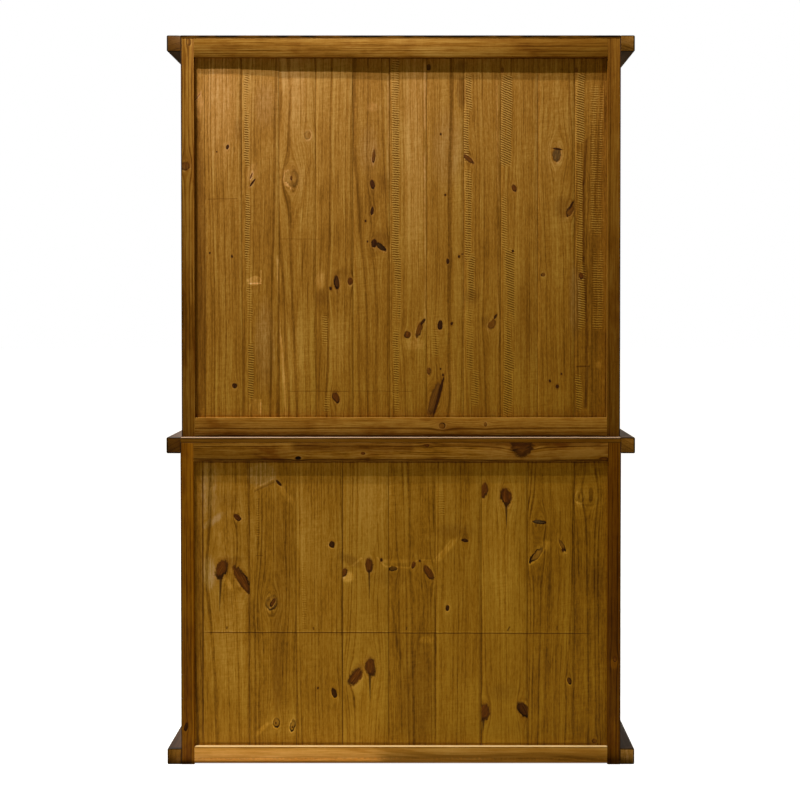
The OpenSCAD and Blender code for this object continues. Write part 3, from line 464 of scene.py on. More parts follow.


# ---- back boards
# painted light and shade: how the pine's lightness changes, per metre across and up, as the lamps' light falls off,
# its level, and how fast blue goes
UPPER = dict(light_fade=(0.09, 0.24, 0.52, 4.0), knots=[
    dark(227.8, 147, 4, 7, 15), pin(217, 152, 2), dark(252.8, 182.5, 2.6, 13, 35, halo=0.8),
    knot(251.5, 176, 2.4, 8, 20, body=0.8, halo=0.8), knot(198, 97, 2, 12, 38, body=0.6, rim=0.3, halo=0.6),
    pin(210, 253), pin(232, 256.5, 3.4),
    knot(291, 178.5, 19, 20, body=0.12, rim=0.22, halo=0.5, colour=BODY_PALE, flow=1.1),
    knot(291, 178, 3, 6, body=0.9), knot(308, 135, 8, 12, body=0.15, rim=0.25), knot(373.6, 156, 4, 19, 6, body=0.85),
    knot(372.5, 184.3, 6, 13, -8, colour=srgb(84, 42, 14), rim=0.9), dark(372.2, 211, 4, 12, 8), pin(365.6, 221, 3),
    pin(367.5, 241.6, 2.6), dark(374, 243.2, 8, 11), knot(380.5, 247, 7, 17, -52, colour=srgb(64, 40, 16), rim=0.8),
    dark(428, 67, 7, 9, 20, body=0.8, rim=0.5), knot(502, 70, 5, 7, body=0.55, rim=0.2),
    knot(576, 70, 5, 7, body=0.55, rim=0.2), knot(468.6, 158.5, 6, 18, -48, body=0.9, rim=0.5), pin(440.7, 134, 2.8),
    pin(445.3, 195, 2.8), knot(514, 188, 6, 10, -15, rim=0.8),
    knot(557.2, 154.5, 11, 19, colour=srgb(122, 88, 46), rim=0.35), dark(557.6, 148.8, 14, 2.6, 8, rim=0.4, halo=0),
    knot(570.3, 211, 8.5, 16, 28, body=0.7, rim=0.6, halo=0.5), dark(571.5, 205, 3, 14, 30, rim=0.2, halo=0),
    knot(581.4, 276, 6, 9, -10, rim=0.8), knot(337, 282.6, 7.5, 18, -6, colour=srgb(88, 50, 18), rim=1.0, halo=0.5),
    pin(330.5, 288.4, 4.5), knot(350.4, 281.4, 7, 10, rim=0.3), dark(234.7, 385.5, 7, 7.5, halo=0.35),
    knot(336.2, 397.2, 9, 15, -22, rim=0.8), knot(408, 335, 9, 10, rim=0.6),
    knot(418.8, 329.6, 7, 22, 16, body=0.85, rim=0.5, halo=0.4), dark(422.8, 321.5, 4, 9, 35, halo=0),
    dark(440, 325.4, 7, 13.5, 4, rim=0.9), pin(451.8, 323.6, 4), dark(447.8, 261, 4, 7.5), pin(459, 256.7, 4),
    pin(513, 251, 3), knot(543.4, 274.5, 6, 5, body=0.7), knot(491.8, 324, 9, 15, 30, body=0.7, rim=0.3),
    dark(495.5, 316.5, 3, 9, 30, halo=0), knot(428.6, 371, 6, 9, body=0.8, rim=0.5), pin(440.7, 369, 2.2),
    pin(443, 375, 3), knot(434.4, 399, 12, 50, 16, body=0.85, rim=0.35, halo=0.1, colour=srgb(118, 74, 26)),
    dark(438.6, 396, 4, 58, 15, rim=0.2, halo=0, flow=0.3), pin(550, 381, 3.6), pin(557.4, 386.5, 5),
    pin(561.4, 374, 2.8), knot(462, 254, 3, 3, body=0.5),
], clouds=each(
    cloud,  # px, py, wide, tall, tint, strength, turn, hard
    (198.4, 280, 26, 460, BROWN, 0.5, 0, 1.0), (199, 104, 12, 40, PALE, 0.5, 0, 0.4),
    (198, 112, 14, 5, BROWN, 0.6, 70), (197.5, 125, 12, 20, BROWN, 0.4), (461.5, 92, 15, 46, BROWN, 0.6, 0, 0.7),
    (461, 66, 17, 16, DARK, 0.35), (265, 345, 26, 110, GREY, 0.3), (254.5, 280.5, 20, 14, PALE, 0.8, 0, 1.0),
    (255.5, 407, 19, 28, PALE, 0.35, 0, 1.0), (320.5, 280, 12, 24, PALE, 0.6), (322, 297, 18, 20, BROWN, 0.5),
    (343, 274, 22, 16, BROWN, 0.3), (414.5, 160, 30, 280, PALE, 0.3), (372, 107, 16, 12, PALE, 0.5),
    (381, 240, 22, 26, BROWN, 0.45), (384, 182, 16, 30, BROWN, 0.35), (471, 296, 22, 20, BROWN, 0.5),
    (564, 208, 26, 30, BROWN, 0.5), (486, 322, 14, 16, BROWN, 0.45), (220, 110, 44, 150, PALE, 0.3),
    (450, 395, 20, 90, PALE, 0.3), (252, 172, 12, 24, PALE, 0.5, 20), (238, 130, 10, 30, BROWN, 0.4),
    (598, 230, 34, 330, BROWN, 0.18), (575, 300, 14, 90, GREY, 0.5), (598.5, 365, 8, 10, PALE, 0.6),
    (415, 345, 26, 14, PALE, 0.4), (553, 160, 34, 50, PALE, 0.12), (369, 150, 26, 60, GREY, 0.15),
    (480, 375, 44, 120, BROWN, 0.12), (524, 330, 30, 160, BROWN, 0.2), (293, 60, 40, 200, PALE, 0.22),
    (336, 345, 34, 90, PALE, 0.15), (292, 355, 40, 110, PALE, 0.22), (447, 150, 40, 100, GREY, 0.14),
    (265, 105, 30, 60, GREY, 0.12),
), streaks=each(
    streak,  # px0, py0, px1, py1, wide, tint, strength
    # the first three are painted shadow: the dark gaps under the top rail and beside both posts
    (192, 57.6, 610, 57.8, 3, DARK, 0.85), (193.6, 57, 193.6, 416, 3.4, DARK, 0.8),
    (608, 57, 608, 416, 2.6, DARK, 0.6), (586.7, 138, 583.6, 186, 5, BROWN, 0.9),
    (583.6, 180, 583.8, 262, 4, BROWN, 0.95), (583.8, 255, 587, 322, 5, BROWN, 0.8),
    (587, 318, 587, 366, 4, BROWN, 0.9), (587.5, 366, 585.6, 409, 6, DARK, 0.6),
    (576, 366.5, 590, 366.5, 3, BROWN, 0.9), (277.6, 255, 279.5, 345, 4, PALE, 0.7),
    (281, 335, 286.5, 417, 5, PALE, 0.7), (260.8, 399, 260.8, 416, 2.5, PALE, 0.9),
    (248, 283.6, 261.5, 283.6, 2.4, PALE, 0.9), (261, 270, 261, 284, 2.4, PALE, 0.8),
    # the next line is painted shade where the boards meet the bottom rail
    (196, 415.9, 606, 416.4, 3, BROWN, 0.5), (207, 199.3, 238, 198.6, 1.8, BROWN, 0.6),
    (280, 239, 320, 239, 1.8, BROWN, 0.45), (288, 391.2, 350, 391.4, 1.8, BROWN, 0.7),
    (353, 391, 413, 391.6, 1.8, BROWN, 0.55), (425, 60, 425, 130, 5, PALE, 0.7),
    (424.6, 150, 425.2, 330, 4, PALE, 0.6), (496.5, 75, 498.6, 210, 3.5, PALE, 0.6),
    (498, 225, 498.5, 416, 3.5, PALE, 0.45), (388, 75, 388, 180, 4, PALE, 0.35),
    (243.8, 330, 243.8, 416, 3, BROWN, 0.6), (569.3, 60, 569.3, 140, 3, BROWN, 0.4),
    (463.4, 175, 463.4, 416, 3, PALE, 0.35), (536.6, 75, 536.6, 415, 3, PALE, 0.3),
    (605.6, 330, 606, 415, 4, BROWN, 0.8), (604.5, 80, 605.5, 130, 3, BROWN, 0.6),
), vees=each(
    vee,  # px, py, wide, long, strength
    (293.5, 160, 50, 190, 0.5), (292, 235, 40, 300, 0.45), (222, 260, 40, 280, 0.2), (447, 330, 36, 240, 0.2),
), ripples=each(
    ripples,  # px, py0, py1, wide, slant, strength
    (246.5, 74, 166, 7, 0.14, 0.8), (247.5, 194, 272, 7, 0.14, 0.9), (249.5, 286, 322, 8, 0.12, 0.5),
    (251, 344, 398, 8, 0.14, 0.9), (395.5, 60, 262, 11, 0.10, 0.8), (397, 258, 320, 12, 0.10, 0.9),
    (396, 330, 412, 9, 0.10, 0.7), (325, 315, 345, 9, 0.08, 0.4), (435, 330, 356, 12, 0.08, 0.4),
    (469, 76, 110, 9, 0.32, 0.7), (466.5, 110, 160, 8, 0.20, 0.8), (468.5, 170, 262, 10, 0.16, 0.6),
    (471, 255, 300, 13, 0.28, 0.8), (470, 310, 370, 11, 0.24, 0.6), (475, 370, 405, 12, 0.24, 0.4),
    (506.5, 76, 165, 17, 0.44, 1.1), (510, 250, 372, 16, 0.36, 1.0), (508, 372, 416, 14, 0.36, 0.8),
    (505, 195, 250, 10, 0.32, 0.45), (580.5, 74, 142, 13, 0.32, 0.9), (579.5, 150, 262, 11, 0.24, 0.5),
    (582, 262, 330, 12, 0.20, 0.5), (597, 85, 235, 20, 0.02, 0.3), (598, 250, 330, 18, 0.02, 0.3),
    (327, 395, 412, 9, 0.08, 0.4), (579, 375, 410, 10, 0.20, 0.5),
))

LOWER = dict(light_fade=(0.12, 0.12, 0.765, 6.0), knots=[
    dark(278.5, 483, 4, 11, -42, rim=0.8), knot(237.1, 517.1, 6.5, 12, -52, colour=srgb(92, 46, 12), halo=0.6),
    dark(331.9, 544.4, 7.5, 9.5, -10, halo=0.7), knot(221, 568.7, 15, 27, 22, tail=112, halo=0.2),
    knot(241.8, 580, 13, 43, -33, halo=0.25), knot(271.3, 602.5, 15, 20, 20, body=0.1, colour=BODY_PALE),
    knot(273, 602.5, 5, 13, 28, rim=0.8, halo=1.0), knot(369.1, 565.3, 10, 19, -4, rim=0.6, tail=92),
    pin(381.4, 560, 4.6), knot(393.6, 568.6, 12, 6, -6, rim=0.9, body=0.75, colour=srgb(70, 42, 14)),
    knot(413.5, 564.9, 5, 9, 12, rim=0.6), pin(419.8, 561, 3), knot(344.2, 572.5, 7, 12, 10),
    knot(428.9, 572.2, 9, 23, -30, body=0.95, rim=0.6, halo=0.5), dark(465.3, 540.4, 9, 5, 10, halo=0.4),
    dark(447.8, 607.7, 5.5, 9, halo=1.0), knot(483, 490, 12, 20, 14, rim=0.45),
    knot(506.2, 496.2, 15, 24, -8, rim=0.75, tail=84),
    knot(538.6, 521.9, 18, 5.5, 6, colour=srgb(88, 66, 40), rim=1.0),
    knot(536.7, 555, 9, 26, 42, body=0.3, rim=1.0, halo=1.0, colour=srgb(150, 104, 50)),
    knot(562.2, 545.5, 5, 18, -26, body=0.6, rim=1.0, halo=1.0, colour=srgb(120, 76, 24)), pin(562.9, 550, 4),
    knot(588.4, 494.5, 36, 30, body=0.0, rim=0.12, halo=0.2, colour=BODY_PALE, flow=0.5),
    knot(580, 497, 12, 14, body=0.0, rim=0.2, halo=0.4, colour=BODY_PALE, flow=0.6),
    knot(356.3, 676.8, 14, 29, 30, rim=0.4, halo=0.2), knot(369.8, 667, 14, 25, -6, rim=0.5, tail=90, halo=0.2),
    dark(333.9, 692.6, 7, 14, -16, halo=1.0), pin(318, 688, 2.8),
    knot(276, 722.6, 9, 13, body=0.15, rim=0.9, halo=1.0), pin(276, 723, 2.2),
    knot(292.6, 725.4, 7, 16, 12, body=0.2, rim=1.0, halo=0.9), pin(292.4, 727, 2),
    knot(483.5, 712, 17, 24, 16, rim=0.6, tail=44), knot(524, 709, 14, 24, -34, colour=srgb(84, 42, 10), rim=0.8),
    knot(569, 681, 6, 9, -20, rim=1.0, halo=1.0, body=0.85, colour=srgb(84, 42, 10)),
    knot(594.8, 741, 7, 6, body=0.5),
], clouds=each(
    cloud,  # px, py, wide, tall, tint, strength, turn, hard
    (208.5, 486, 20, 80, GREY, 0.7), (212.5, 521, 9, 34, GREY, 0.7, 55), (209, 573, 18, 44, GREY, 1.0, 0, 0.3),
    (229, 584, 7, 22, PALE, 0.7, -30), (227, 500, 34, 20, BROWN, 0.2), (262, 474, 40, 34, GREY, 0.6, 0, 0.6),
    (287.5, 496, 9, 38, PALE, 0.55, -38), (234, 561, 30, 12, BROWN, 0.35, -20), (349, 559.5, 32, 13, BROWN, 0.5, 25),
    (348, 577, 17, 17, PALE, 0.9, 0, 0.5), (395, 561, 44, 6, PALE, 0.45), (390, 578, 44, 20, BROWN, 0.25),
    (455, 531, 52, 20, BROWN, 0.35), (446, 551, 7, 42, PALE, 0.65, 42), (546, 545.5, 14, 14, PALE, 0.6),
    (598.6, 582, 18, 62, BROWN, 0.45), (590, 575, 40, 50, BROWN, 0.2), (418, 690, 48, 160, BROWN, 0.32),
    (277, 660, 14, 160, BROWN, 0.35), (262, 729, 6, 28, PALE, 0.7, 45), (427, 640, 20, 10, PALE, 0.6),
    (500, 560, 40, 190, PALE, 0.25), (370, 500, 60, 90, PALE, 0.2), (503, 692, 40, 24, BROWN, 0.25),
    (312, 530, 38, 120, PALE, 0.14), (230, 650, 60, 120, PALE, 0.2), (368, 705, 44, 110, PALE, 0.2),
    (325, 600, 40, 100, PALE, 0.12), (283, 560, 26, 160, BROWN, 0.22), (225, 530, 30, 60, PALE, 0.2),
    (238, 604, 20, 30, PALE, 0.25), (198, 600, 12, 420, BROWN, 0.3),
), streaks=each(
    streak,  # px0, py0, px1, py1, wide, tint, strength
    # the first line and the third are painted shadow: the dark gaps under the top rail and beside the post at the
    # image's right
    (192, 462, 610, 462.2, 3, DARK, 0.8), (202.7, 463, 202.7, 744, 3, DARK, 0.7),
    (608.8, 463, 608.8, 744, 2.6, DARK, 0.6), (203, 631.2, 398, 631.4, 1.8, PALE, 0.4),
    (396, 631.8, 591.5, 632.1, 1.8, PALE, 0.3), (352, 566, 362, 557.5, 4, PALE, 0.5),
    (377, 557, 384.5, 566, 3.4, PALE, 0.55), (384, 566.5, 410, 568, 3.4, PALE, 0.5),
    (409, 568, 416.5, 560.5, 3.4, PALE, 0.5), (416, 560.5, 432, 560, 3, PALE, 0.45),
    (433, 562, 452, 539, 4, PALE, 0.45), (254, 491.5, 275, 481.5, 3, BROWN, 0.6),
    # the second line here is painted shade where the boards meet the bottom rail
    (254, 488.5, 274, 478.8, 3.4, PALE, 0.45), (196, 743.2, 606, 743.6, 3.6, BROWN, 0.75),
    (203, 632.4, 398, 632.7, 2.0, DARK, 0.85), (396, 633.1, 591.5, 633.5, 2.0, DARK, 0.8),
    (256, 555.5, 263, 555.5, 1.6, BROWN, 0.8), (301, 465, 303, 630, 2.4, PALE, 0.25),
    (342.6, 465, 342.6, 742, 2.4, DARK, 0.5), (248.7, 465, 248.7, 742, 2.4, BROWN, 0.6),
    (388.4, 465, 388.4, 742, 2, BROWN, 0.5), (434, 530, 434, 600, 3, PALE, 0.35), (480, 500, 480, 745, 3, BROWN, 0.4),
    (526.5, 465, 526.5, 745, 2.4, BROWN, 0.5), (573, 520, 573, 745, 3, BROWN, 0.35),
    (226.6, 629.2, 227.4, 626.4, 3, DARK, 0.8), (313.5, 630, 313.5, 627, 3, DARK, 0.7),
    (406.3, 630, 406.9, 627, 3, DARK, 0.7), (507.5, 631, 510, 626.5, 3, DARK, 0.8),
    (557, 630, 557.3, 626, 3, DARK, 0.6),
), vees=each(
    vee,  # px, py, wide, long, strength
    (318, 465, 46, 170, 0.2), (366, 520, 40, 200, 0.2), (408, 600, 50, 260, 0.3), (272, 520, 50, 260, 0.25),
    (550, 600, 50, 200, 0.25),
), ripples=each(
    ripples,  # px, py0, py1, wide, slant, strength
    (441, 490, 516, 12, 0.02, 0.3), (304, 560, 632, 8, 0.04, 0.12), (256, 495, 540, 10, 0.04, 0.12),
))


def lie(seed, tone=0.0, sunk=0.3, tilt=0.0, gap=0.3, pith=180, far=60):
    """A board's figure and place: how deep and tilted it lies, the gap beside it and where its pith is, in mm."""
    return dict(seed=seed, tone=tone, sunk=sunk, tilt=tilt, gap=gap, pith=pith, far=far)


# From the image's left, which is the right-hand post, to its right. The boards lie deeper towards the image's right
UPPER_BOARDS = [
    lie(1.7, tone=-0.1, sunk=-2.2, pith=60, far=20, gap=0.6), lie(2.3, sunk=-2.0, pith=240),
    lie(3.1, tone=-0.03, sunk=-0.8, tilt=-1.6, pith=-160), lie(4.9, tone=0.05, sunk=1.0, pith=120, far=40),
    lie(5.2, tone=0.02, sunk=1.2, pith=-220), lie(6.6, tone=-0.01, sunk=2.2, tilt=-1.0, gap=1.3, pith=90),
    lie(7.4, tone=0.03, sunk=1.9, pith=300), lie(8.8, sunk=2.0, pith=-140, tilt=-0.4, gap=0.8),
    lie(9.3, tone=0.02, sunk=2.1, tilt=-0.3, pith=200), lie(10.1, tone=0.01, sunk=2.2, tilt=-0.4, pith=-260),
    lie(11.5, sunk=2.5, pith=220, gap=0.6), lie(12.9, tone=-0.15, sunk=2.4, pith=-90, far=30),
]
LOWER_BOARDS = [
    lie(21.7, tone=-0.03, sunk=0.0, pith=90), lie(22.3, tone=0.02, sunk=-0.1, pith=150),
    lie(23.1, tone=-0.03, sunk=0.1, pith=-190), lie(24.9, tone=0.03, pith=240),
    lie(25.2, tone=0.11, sunk=0.5, pith=-260, gap=0.8), lie(26.6, tone=-0.03, sunk=0.4, pith=130),
    lie(27.4, tone=0.04, sunk=0.2, pith=-170), lie(28.8, tone=0.13, sunk=0.0, pith=280),
    lie(29.3, sunk=0.1, pith=-150), lie(30.1, tone=-0.11, sunk=-0.1, pith=170),
]


CUP = 0.2  # how far a board's edges lie below its middle, in millimetres
EASE = 0.0006  # the rounding of a board's edges
TONGUE, TONGUE_THICK, TONGUE_PLAY = 0.005, 0.003, 0.0003


def section(board, a, b, face, inner, first, last):
    """The outline of a board from a to b, with its tongue and its groove, from its left edge's face round."""
    steps = 10
    outline = []
    for s in range(steps + 1):
        t = s / steps
        drop = board["sunk"] + board["tilt"] * (t - 0.5) + CUP * (2 * t - 1) ** 2
        outline.append((a + EASE + t * (b - a - 2 * EASE), face - drop / 1000))
    mid = (face + inner) / 2 - 0.001
    high, low = mid + TONGUE_THICK / 2, mid - TONGUE_THICK / 2
    right_y, left_y = outline[-1][1], outline[0][1]
    right = [(b, right_y - EASE * 0.45), (b, right_y - EASE)]
    if not first:  # a tongue towards the board before
        right += [(b, high), (b + TONGUE, high), (b + TONGUE, low), (b, low)]
    left = [(a, left_y - EASE), (a, left_y - EASE * 0.45)]
    if not last:
        deep = a + TONGUE + 2 * TONGUE_PLAY
        high, low = high + TONGUE_PLAY, low - TONGUE_PLAY
        left = [(a, low), (deep, low), (deep, high), (a, high), *left]
    return outline + right + [(b, inner), (a, inner)] + left


def back_boards(cad_node, first, width, boards, marks, honey):
    """Boards of one back, each with its own edges, lie and figure. boards runs from the right-hand post, with the
    first board's width and the width of the rest."""
    name = cad_node + "_look"
    low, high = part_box(cad_node)
    face, inner = high.y, low.y
    edges = board_edges(low.x, high.x, first, width)
    bm = bmesh.new()
    for i, (x1, x0, board) in enumerate(zip(edges, edges[1:], boards)):
        gap = board["gap"] / 1000
        outline = section(board, x0 + gap / 2, x1 - gap / 2, face, inner, i == 0, i == len(boards) - 1)
        feet = [bm.verts.new((x, y, low.z)) for x, y in outline]
        heads = [bm.verts.new((x, y, high.z)) for x, y in outline]
        count = len(outline)
        for k in range(count):
            f = bm.faces.new((feet[k], heads[k], heads[(k + 1) % count], feet[(k + 1) % count]))
            f.material_index, f.smooth = i, True
        for ring in (feet[::-1], heads):
            f = bm.faces.new(ring)
            f.material_index = i
    bmesh.ops.recalc_face_normals(bm, faces=bm.faces)
    mesh = bpy.data.meshes.new(name)
    bm.to_mesh(mesh)
    bm.free()
    mesh.set_sharp_from_angle(angle=math.radians(50))
    piece = bpy.data.objects.new(name, mesh)
    bpy.context.scene.collection.objects.link(piece)
    for i, (x1, x0, board) in enumerate(zip(edges, edges[1:], boards)):
        own = {kind: [m for m in several if touches(m, x0, x1, face)]
               for kind, several in marks.items() if kind != "light_fade"}
        mesh.materials.append(board_material(f"{name}_{i + 1}", board, x0, x1, face, own, marks["light_fade"], honey))
    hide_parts(cad_node)
    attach(piece, "case")


def shaded(colour, shade, green=1.22, blue=2.3):
    """Scales the pine by a level that holds painted light and shade; darker pine is redder and fuller in colour."""
    tint = vector(shade, shade.math("POWER", green), shade.math("POWER", blue))
    return mix(colour, tint, 1.0, "MULTIPLY")


def board_material(name, board, x0, x1, face, marks, light_fade, honey):
    material, tree, plug = surface(name)
    x, y, z = split(node(tree, "TexCoord", out=3))
    pushed = pushed_by(x * 0, marks["knots"], x, z, face)
    middle = (x0 + x1) / 2 + board["pith"] / 1000
    tone, fibre = use_group(grain_nodes, u=x + pushed, v=y, w=z, seed=board["seed"], pith_u=middle,
                            pith_v=board["far"] / 1000, lean=0.008, coarse=1.0)
    tone = lay(tone, marks["vees"], x, z, face)
    sawn_side = y.step(face - 0.008, face - 0.005)
    for band in marks["ripples"]:
        tone = tone + lay(x, [band], x, z, face) * sawn_side
    edge = (x - x0).math("MINIMUM", x * -1 + x1)
    tone = tone + board["tone"] - edge.step(0.0026, 0.0) * 0.17
    # painted light and shade: the pine darkens towards the image's right and lower down, where the lamps' light falls
    # off
    side, up, level, blue = light_fade
    colour = shaded(pine(tone, honey), x * side + z * up + level, 1.15, blue)
    colour = lay(colour, marks["clouds"] + marks["streaks"] + marks["knots"], x, z, face)
    plug(Base_Color=colour, Roughness=fibre * 0.2 + 0.4, Specular_IOR_Level=0.2,
         Normal=bump(tone + fibre * 0.5, 0.16, 0.0005))
    return material


def board_edges(low, high, first, width):
    """The joints' X from the right-hand post, where the first board is narrower than the rest."""
    edges, x = [high], high - first
    while x > low + 0.01:
        edges.append(x)
        x -= width
    return edges + [low]


back_boards("upper_back_boards", 0.0366, 0.1086, UPPER_BOARDS, UPPER, HONEY)
back_boards("base_back_boards", 0.033, 0.136, LOWER_BOARDS, LOWER, DEEP_HONEY)


# ---- timbers, with eased edges
def label_islands(mesh, seed):
    """Gives each separate timber of a node its grain's axis and a number of its own, kept on its points."""
    co = np.zeros(len(mesh.vertices) * 3)
    mesh.vertices.foreach_get("co", co)
    co = co.reshape(-1, 3)
    _, same = np.unique(np.round(co, 6), axis=0, return_inverse=True)
    same = same.ravel()
    root = list(range(same.max() + 1))

    def find(i):
        while root[i] != i:
            root[i] = root[root[i]]
            i = root[i]
        return i

    for polygon in mesh.polygons:
        corners = [find(same[v]) for v in polygon.vertices]
        for c in corners[1:]:
            root[find(c)] = find(corners[0])
    island = np.array([find(s) for s in same])
    axis, number = np.zeros(len(co)), np.zeros(len(co))
    for count, label in enumerate(np.unique(island)):
        own = island == label
        axis[own] = int(np.argmax(np.ptp(co[own], axis=0)))
        number[own] = (seed * 7.31 + count * 3.77) % 50
    for name, values in (("grain_axis", axis), ("timber", number)):
        made = mesh.attributes.new(name, "FLOAT", "POINT")
        made.data.foreach_set("value", values)


WELDED = 0.00001  # corners nearer than this are one
FLAT = math.radians(0.3)  # faces within this angle are one


def round_edges(obj, width, segments=2, whole_faces=True, angle=35):
    """Rounds a CAD node's edges by modifiers, on its coplanar triangles joined to whole faces."""
    mesh = obj.data
    mesh.normals_split_custom_set([(0, 0, 0)] * len(mesh.loops))
    mesh.polygons.foreach_set("use_smooth", [True] * len(mesh.polygons))
    obj.modifiers.new("weld", "WELD").merge_threshold = WELDED
    if whole_faces:
        whole = obj.modifiers.new("whole", "DECIMATE")
        whole.decimate_type, whole.angle_limit = "DISSOLVE", FLAT
    rounded = obj.modifiers.new("eased", "BEVEL")
    rounded.width, rounded.segments = width, segments
    rounded.limit_method, rounded.angle_limit = "ANGLE", math.radians(angle)
    rounded.harden_normals = True


def timber_coords(tree):
    """The place, the place with the timber's own length as its third number, the normal, and 1 on end grain."""
    x, y, z = split(node(tree, "TexCoord", out=3))
    nx, ny, nz = split(node(tree, "TexCoord", out=1))
    axis = attribute(tree, "grain_axis")
    along_x, along_y = axis.step(0.6, 0.4), axis.step(0.4, 0.6) * axis.step(1.6, 1.4)

    def choose(for_z, for_x, for_y):
        return for_z + (for_x - for_z) * along_x + (for_y - for_z) * along_y

    end = abs(choose(nz, nx, ny)).step(0.6, 0.85)
    return (x, y, z), (choose(x, z, x), choose(y, y, z), choose(z, x, y)), (nx, ny, nz), end


ESPRESSO = (srgb(42, 26, 17), srgb(72, 47, 31), srgb(102, 72, 50))
BLACK_EDGE = srgb(24, 14, 8)


def timber_material(name, honey, cover=None, marks=(), tone_and_light=(1, 1, 1), rough=0.36, gloss=0.12, lively=1.0,
                    outline=None, arris=None):
    """Pine timbers. cover says where the dark stain lies, shades how light the pine is at the image's left, middle and
    right, its own tone and painted light and shade together, lively how strongly its grain shows and outline where the
    stain has run black over an edge. For an upper edge, arris holds its height, its rounding and the colour of the
    painted highlight on it, how dark the painted shadow line under it is and how far over the top the highlight
    reaches."""
    material, tree, plug = surface(name)
    (x, y, z), (u, v, w), normal, end = timber_coords(tree)
    number = attribute(tree, "timber")
    pushed = pushed_by(u * 0, marks, x, z)
    spread = (number * 0.37).math("FRACT") - 0.5
    grain, fibre = use_group(grain_nodes, u=u + pushed + number * 0.31, v=v + number * 0.17, w=w,
                             seed=number, pith_u=number * 0.31 + spread * 0.3, pith_v=number * -0.17 + 0.04,
                             lean=spread * 0.03, coarse=0.3)
    grain = (grain - 0.5) * lively + 0.5
    # the pine's tone together with painted light and shade, lighter or darker at the image's left, middle and right
    left, middle, right = tone_and_light
    shade = (x.step(0.0, 0.6) * (left - middle) + middle) + x.step(0.0, -0.6) * (right - middle)
    colour = shaded(pine(grain, honey), shade)
    blotch = noise(vector(u * 16 + number, v * 16, w * 7), detail=3, rough=0.65)
    colour = mix(colour, (0.62, 0.46, 0.2, 1), blotch.step(0.5, 0.72) * (lively - 0.6) * 0.8, "MULTIPLY")
    fuzz = noise(vector(x * 300, y * 300, z * 300), detail=2)
    colour = mix(colour, (0.5, 0.46, 0.55, 1), end * (fuzz * 0.6 + 0.3), "MULTIPLY")
    colour = lay(colour, marks, x, z)
    if cover is not None:
        ragged = (noise(vector(x * 60, y * 60, z * 60), detail=2) - 0.5) * 0.0016
        place = (x + ragged, y + ragged, z + ragged)
        stain = ramp(grain, (0.1, ESPRESSO[0]), (0.55, ESPRESSO[1]), (0.95, ESPRESSO[2]))
        colour = mix(colour, stain, cover(place, normal))
        if outline is not None:
            colour = mix(colour, BLACK_EDGE, outline(place, normal))
    if arris is not None:
        top, deep, pale, under_shadow, reach = arris
        below = z * -1 + top
        # painted highlight on the up-facing rounding of the edge, and a painted shadow line just under it
        worn = normal[2].step(0.15, 0.4) * y.step(BACK_LOW - reach - 0.001, BACK_LOW - reach)
        line = below.step(deep, deep + 0.0007) * below.step(deep + 0.0036, deep + 0.0022) * normal[1].step(0.7, 0.9)
        colour = mix(colour, pale, worn)
        colour = mix(colour, BLACK_EDGE, line * under_shadow)
    plug(Base_Color=colour, Roughness=fibre * 0.2 + rough, Specular_IOR_Level=gloss,
         Normal=bump(grain + fibre * 0.6, 0.2, 0.0005))
    return material


BACK_LOW, BACK_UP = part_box("base_back_top_rail")[1].y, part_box("upper_back_top_rail")[1].y
FRONT_LOW, FRONT_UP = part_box("base_front_frame")[0].y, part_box("upper_front_frame")[0].y
HALF_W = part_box("base_right_side_frame")[1].x
TIMBER = 0.038
REACH, TOP = cad_box[1][0], cad_box[1][2]


def case_cover(front, back):
    """Stain covers the case's sides, with the edges round their boards, and its front, not inside or behind."""

    def cover(place, normal):
        x, y, z = place
        outside = abs(x).step(HALF_W - 0.0032, HALF_W - 0.0022)
        edges = abs(x).step(HALF_W - 0.0142, HALF_W - 0.0136) * y.step(back - 0.003, back - 0.005)
        return outside.math("MAXIMUM", edges).math("MAXIMUM", y.step(front + TIMBER, front + TIMBER - 0.002))

    return cover


def side_cover(place, normal):
    """Side boards are stained on the faces and edges that show outside."""
    return abs(place[0]).step(HALF_W - 0.024, HALF_W - 0.0225)


def all_over(place, normal):
    return place[0] * 0 + 1


def front_cover(place, normal):
    """A front frame is stained, but for the side that faces into the case."""
    return normal[1].step(0.8, 0.5)


def bar_cover(back):
    """A moulding's sawn end at the back shows bare end grain."""

    def cover(place, normal):
        return (normal[1].step(0.6, 0.9) * place[1].step(back - 0.002, back - 0.001)) * -1 + 1

    return cover


def bar_outline(low, high, back, wide, right_top_shade):
    """The stain's black run round the sawn end of a bar. wide holds its widths at the outside, the top and the
    bottom. dim is how far the top of the bar at the image's right is darkened as painted shade."""

    def outline(place, normal):
        x, y, z = place
        ends = y.step(back - 0.012, back - 0.004)
        out = (abs(x) * -1 + REACH).step(wide[0], wide[0] - 0.0012)
        top = (z * -1 + high).step(wide[1], wide[1] - 0.0012)
        foot = (z - low).step(wide[2], wide[2] - 0.0012)
        # painted shade: the top of the bar at the image's right is darkened
        dusk = normal[2].step(0.5, 0.9) * x.step(-0.6, -0.64) * right_top_shade
        return (out.math("MAXIMUM", top).math("MAXIMUM", foot) * ends * 0.85).math("MAXIMUM", dusk)

    return outline


def top_cover(place, normal):
    return normal[2].step(0.1, 0.5)


def flat_cover(place, normal):
    """The counter is stained, but for its sawn back edge and the arris there, which gets a painted highlight."""
    return normal[2].step(0.93, 0.99).math("MAXIMUM", place[1].step(BACK_LOW - 0.008, BACK_LOW - 0.012))


def top_edge(place, normal):
    """The stain has run over the top board's back edge, thinner in places."""
    x, y, z = place
    worn = noise(vector(x * 14, y * 0, z * 120), detail=2).step(0.62, 0.45)
    return (z * -1 + TOP).step(0.0075, 0.005) * y.step(BACK_UP - 0.008, BACK_UP - 0.003) * (worn * 0.6 + 0.4)


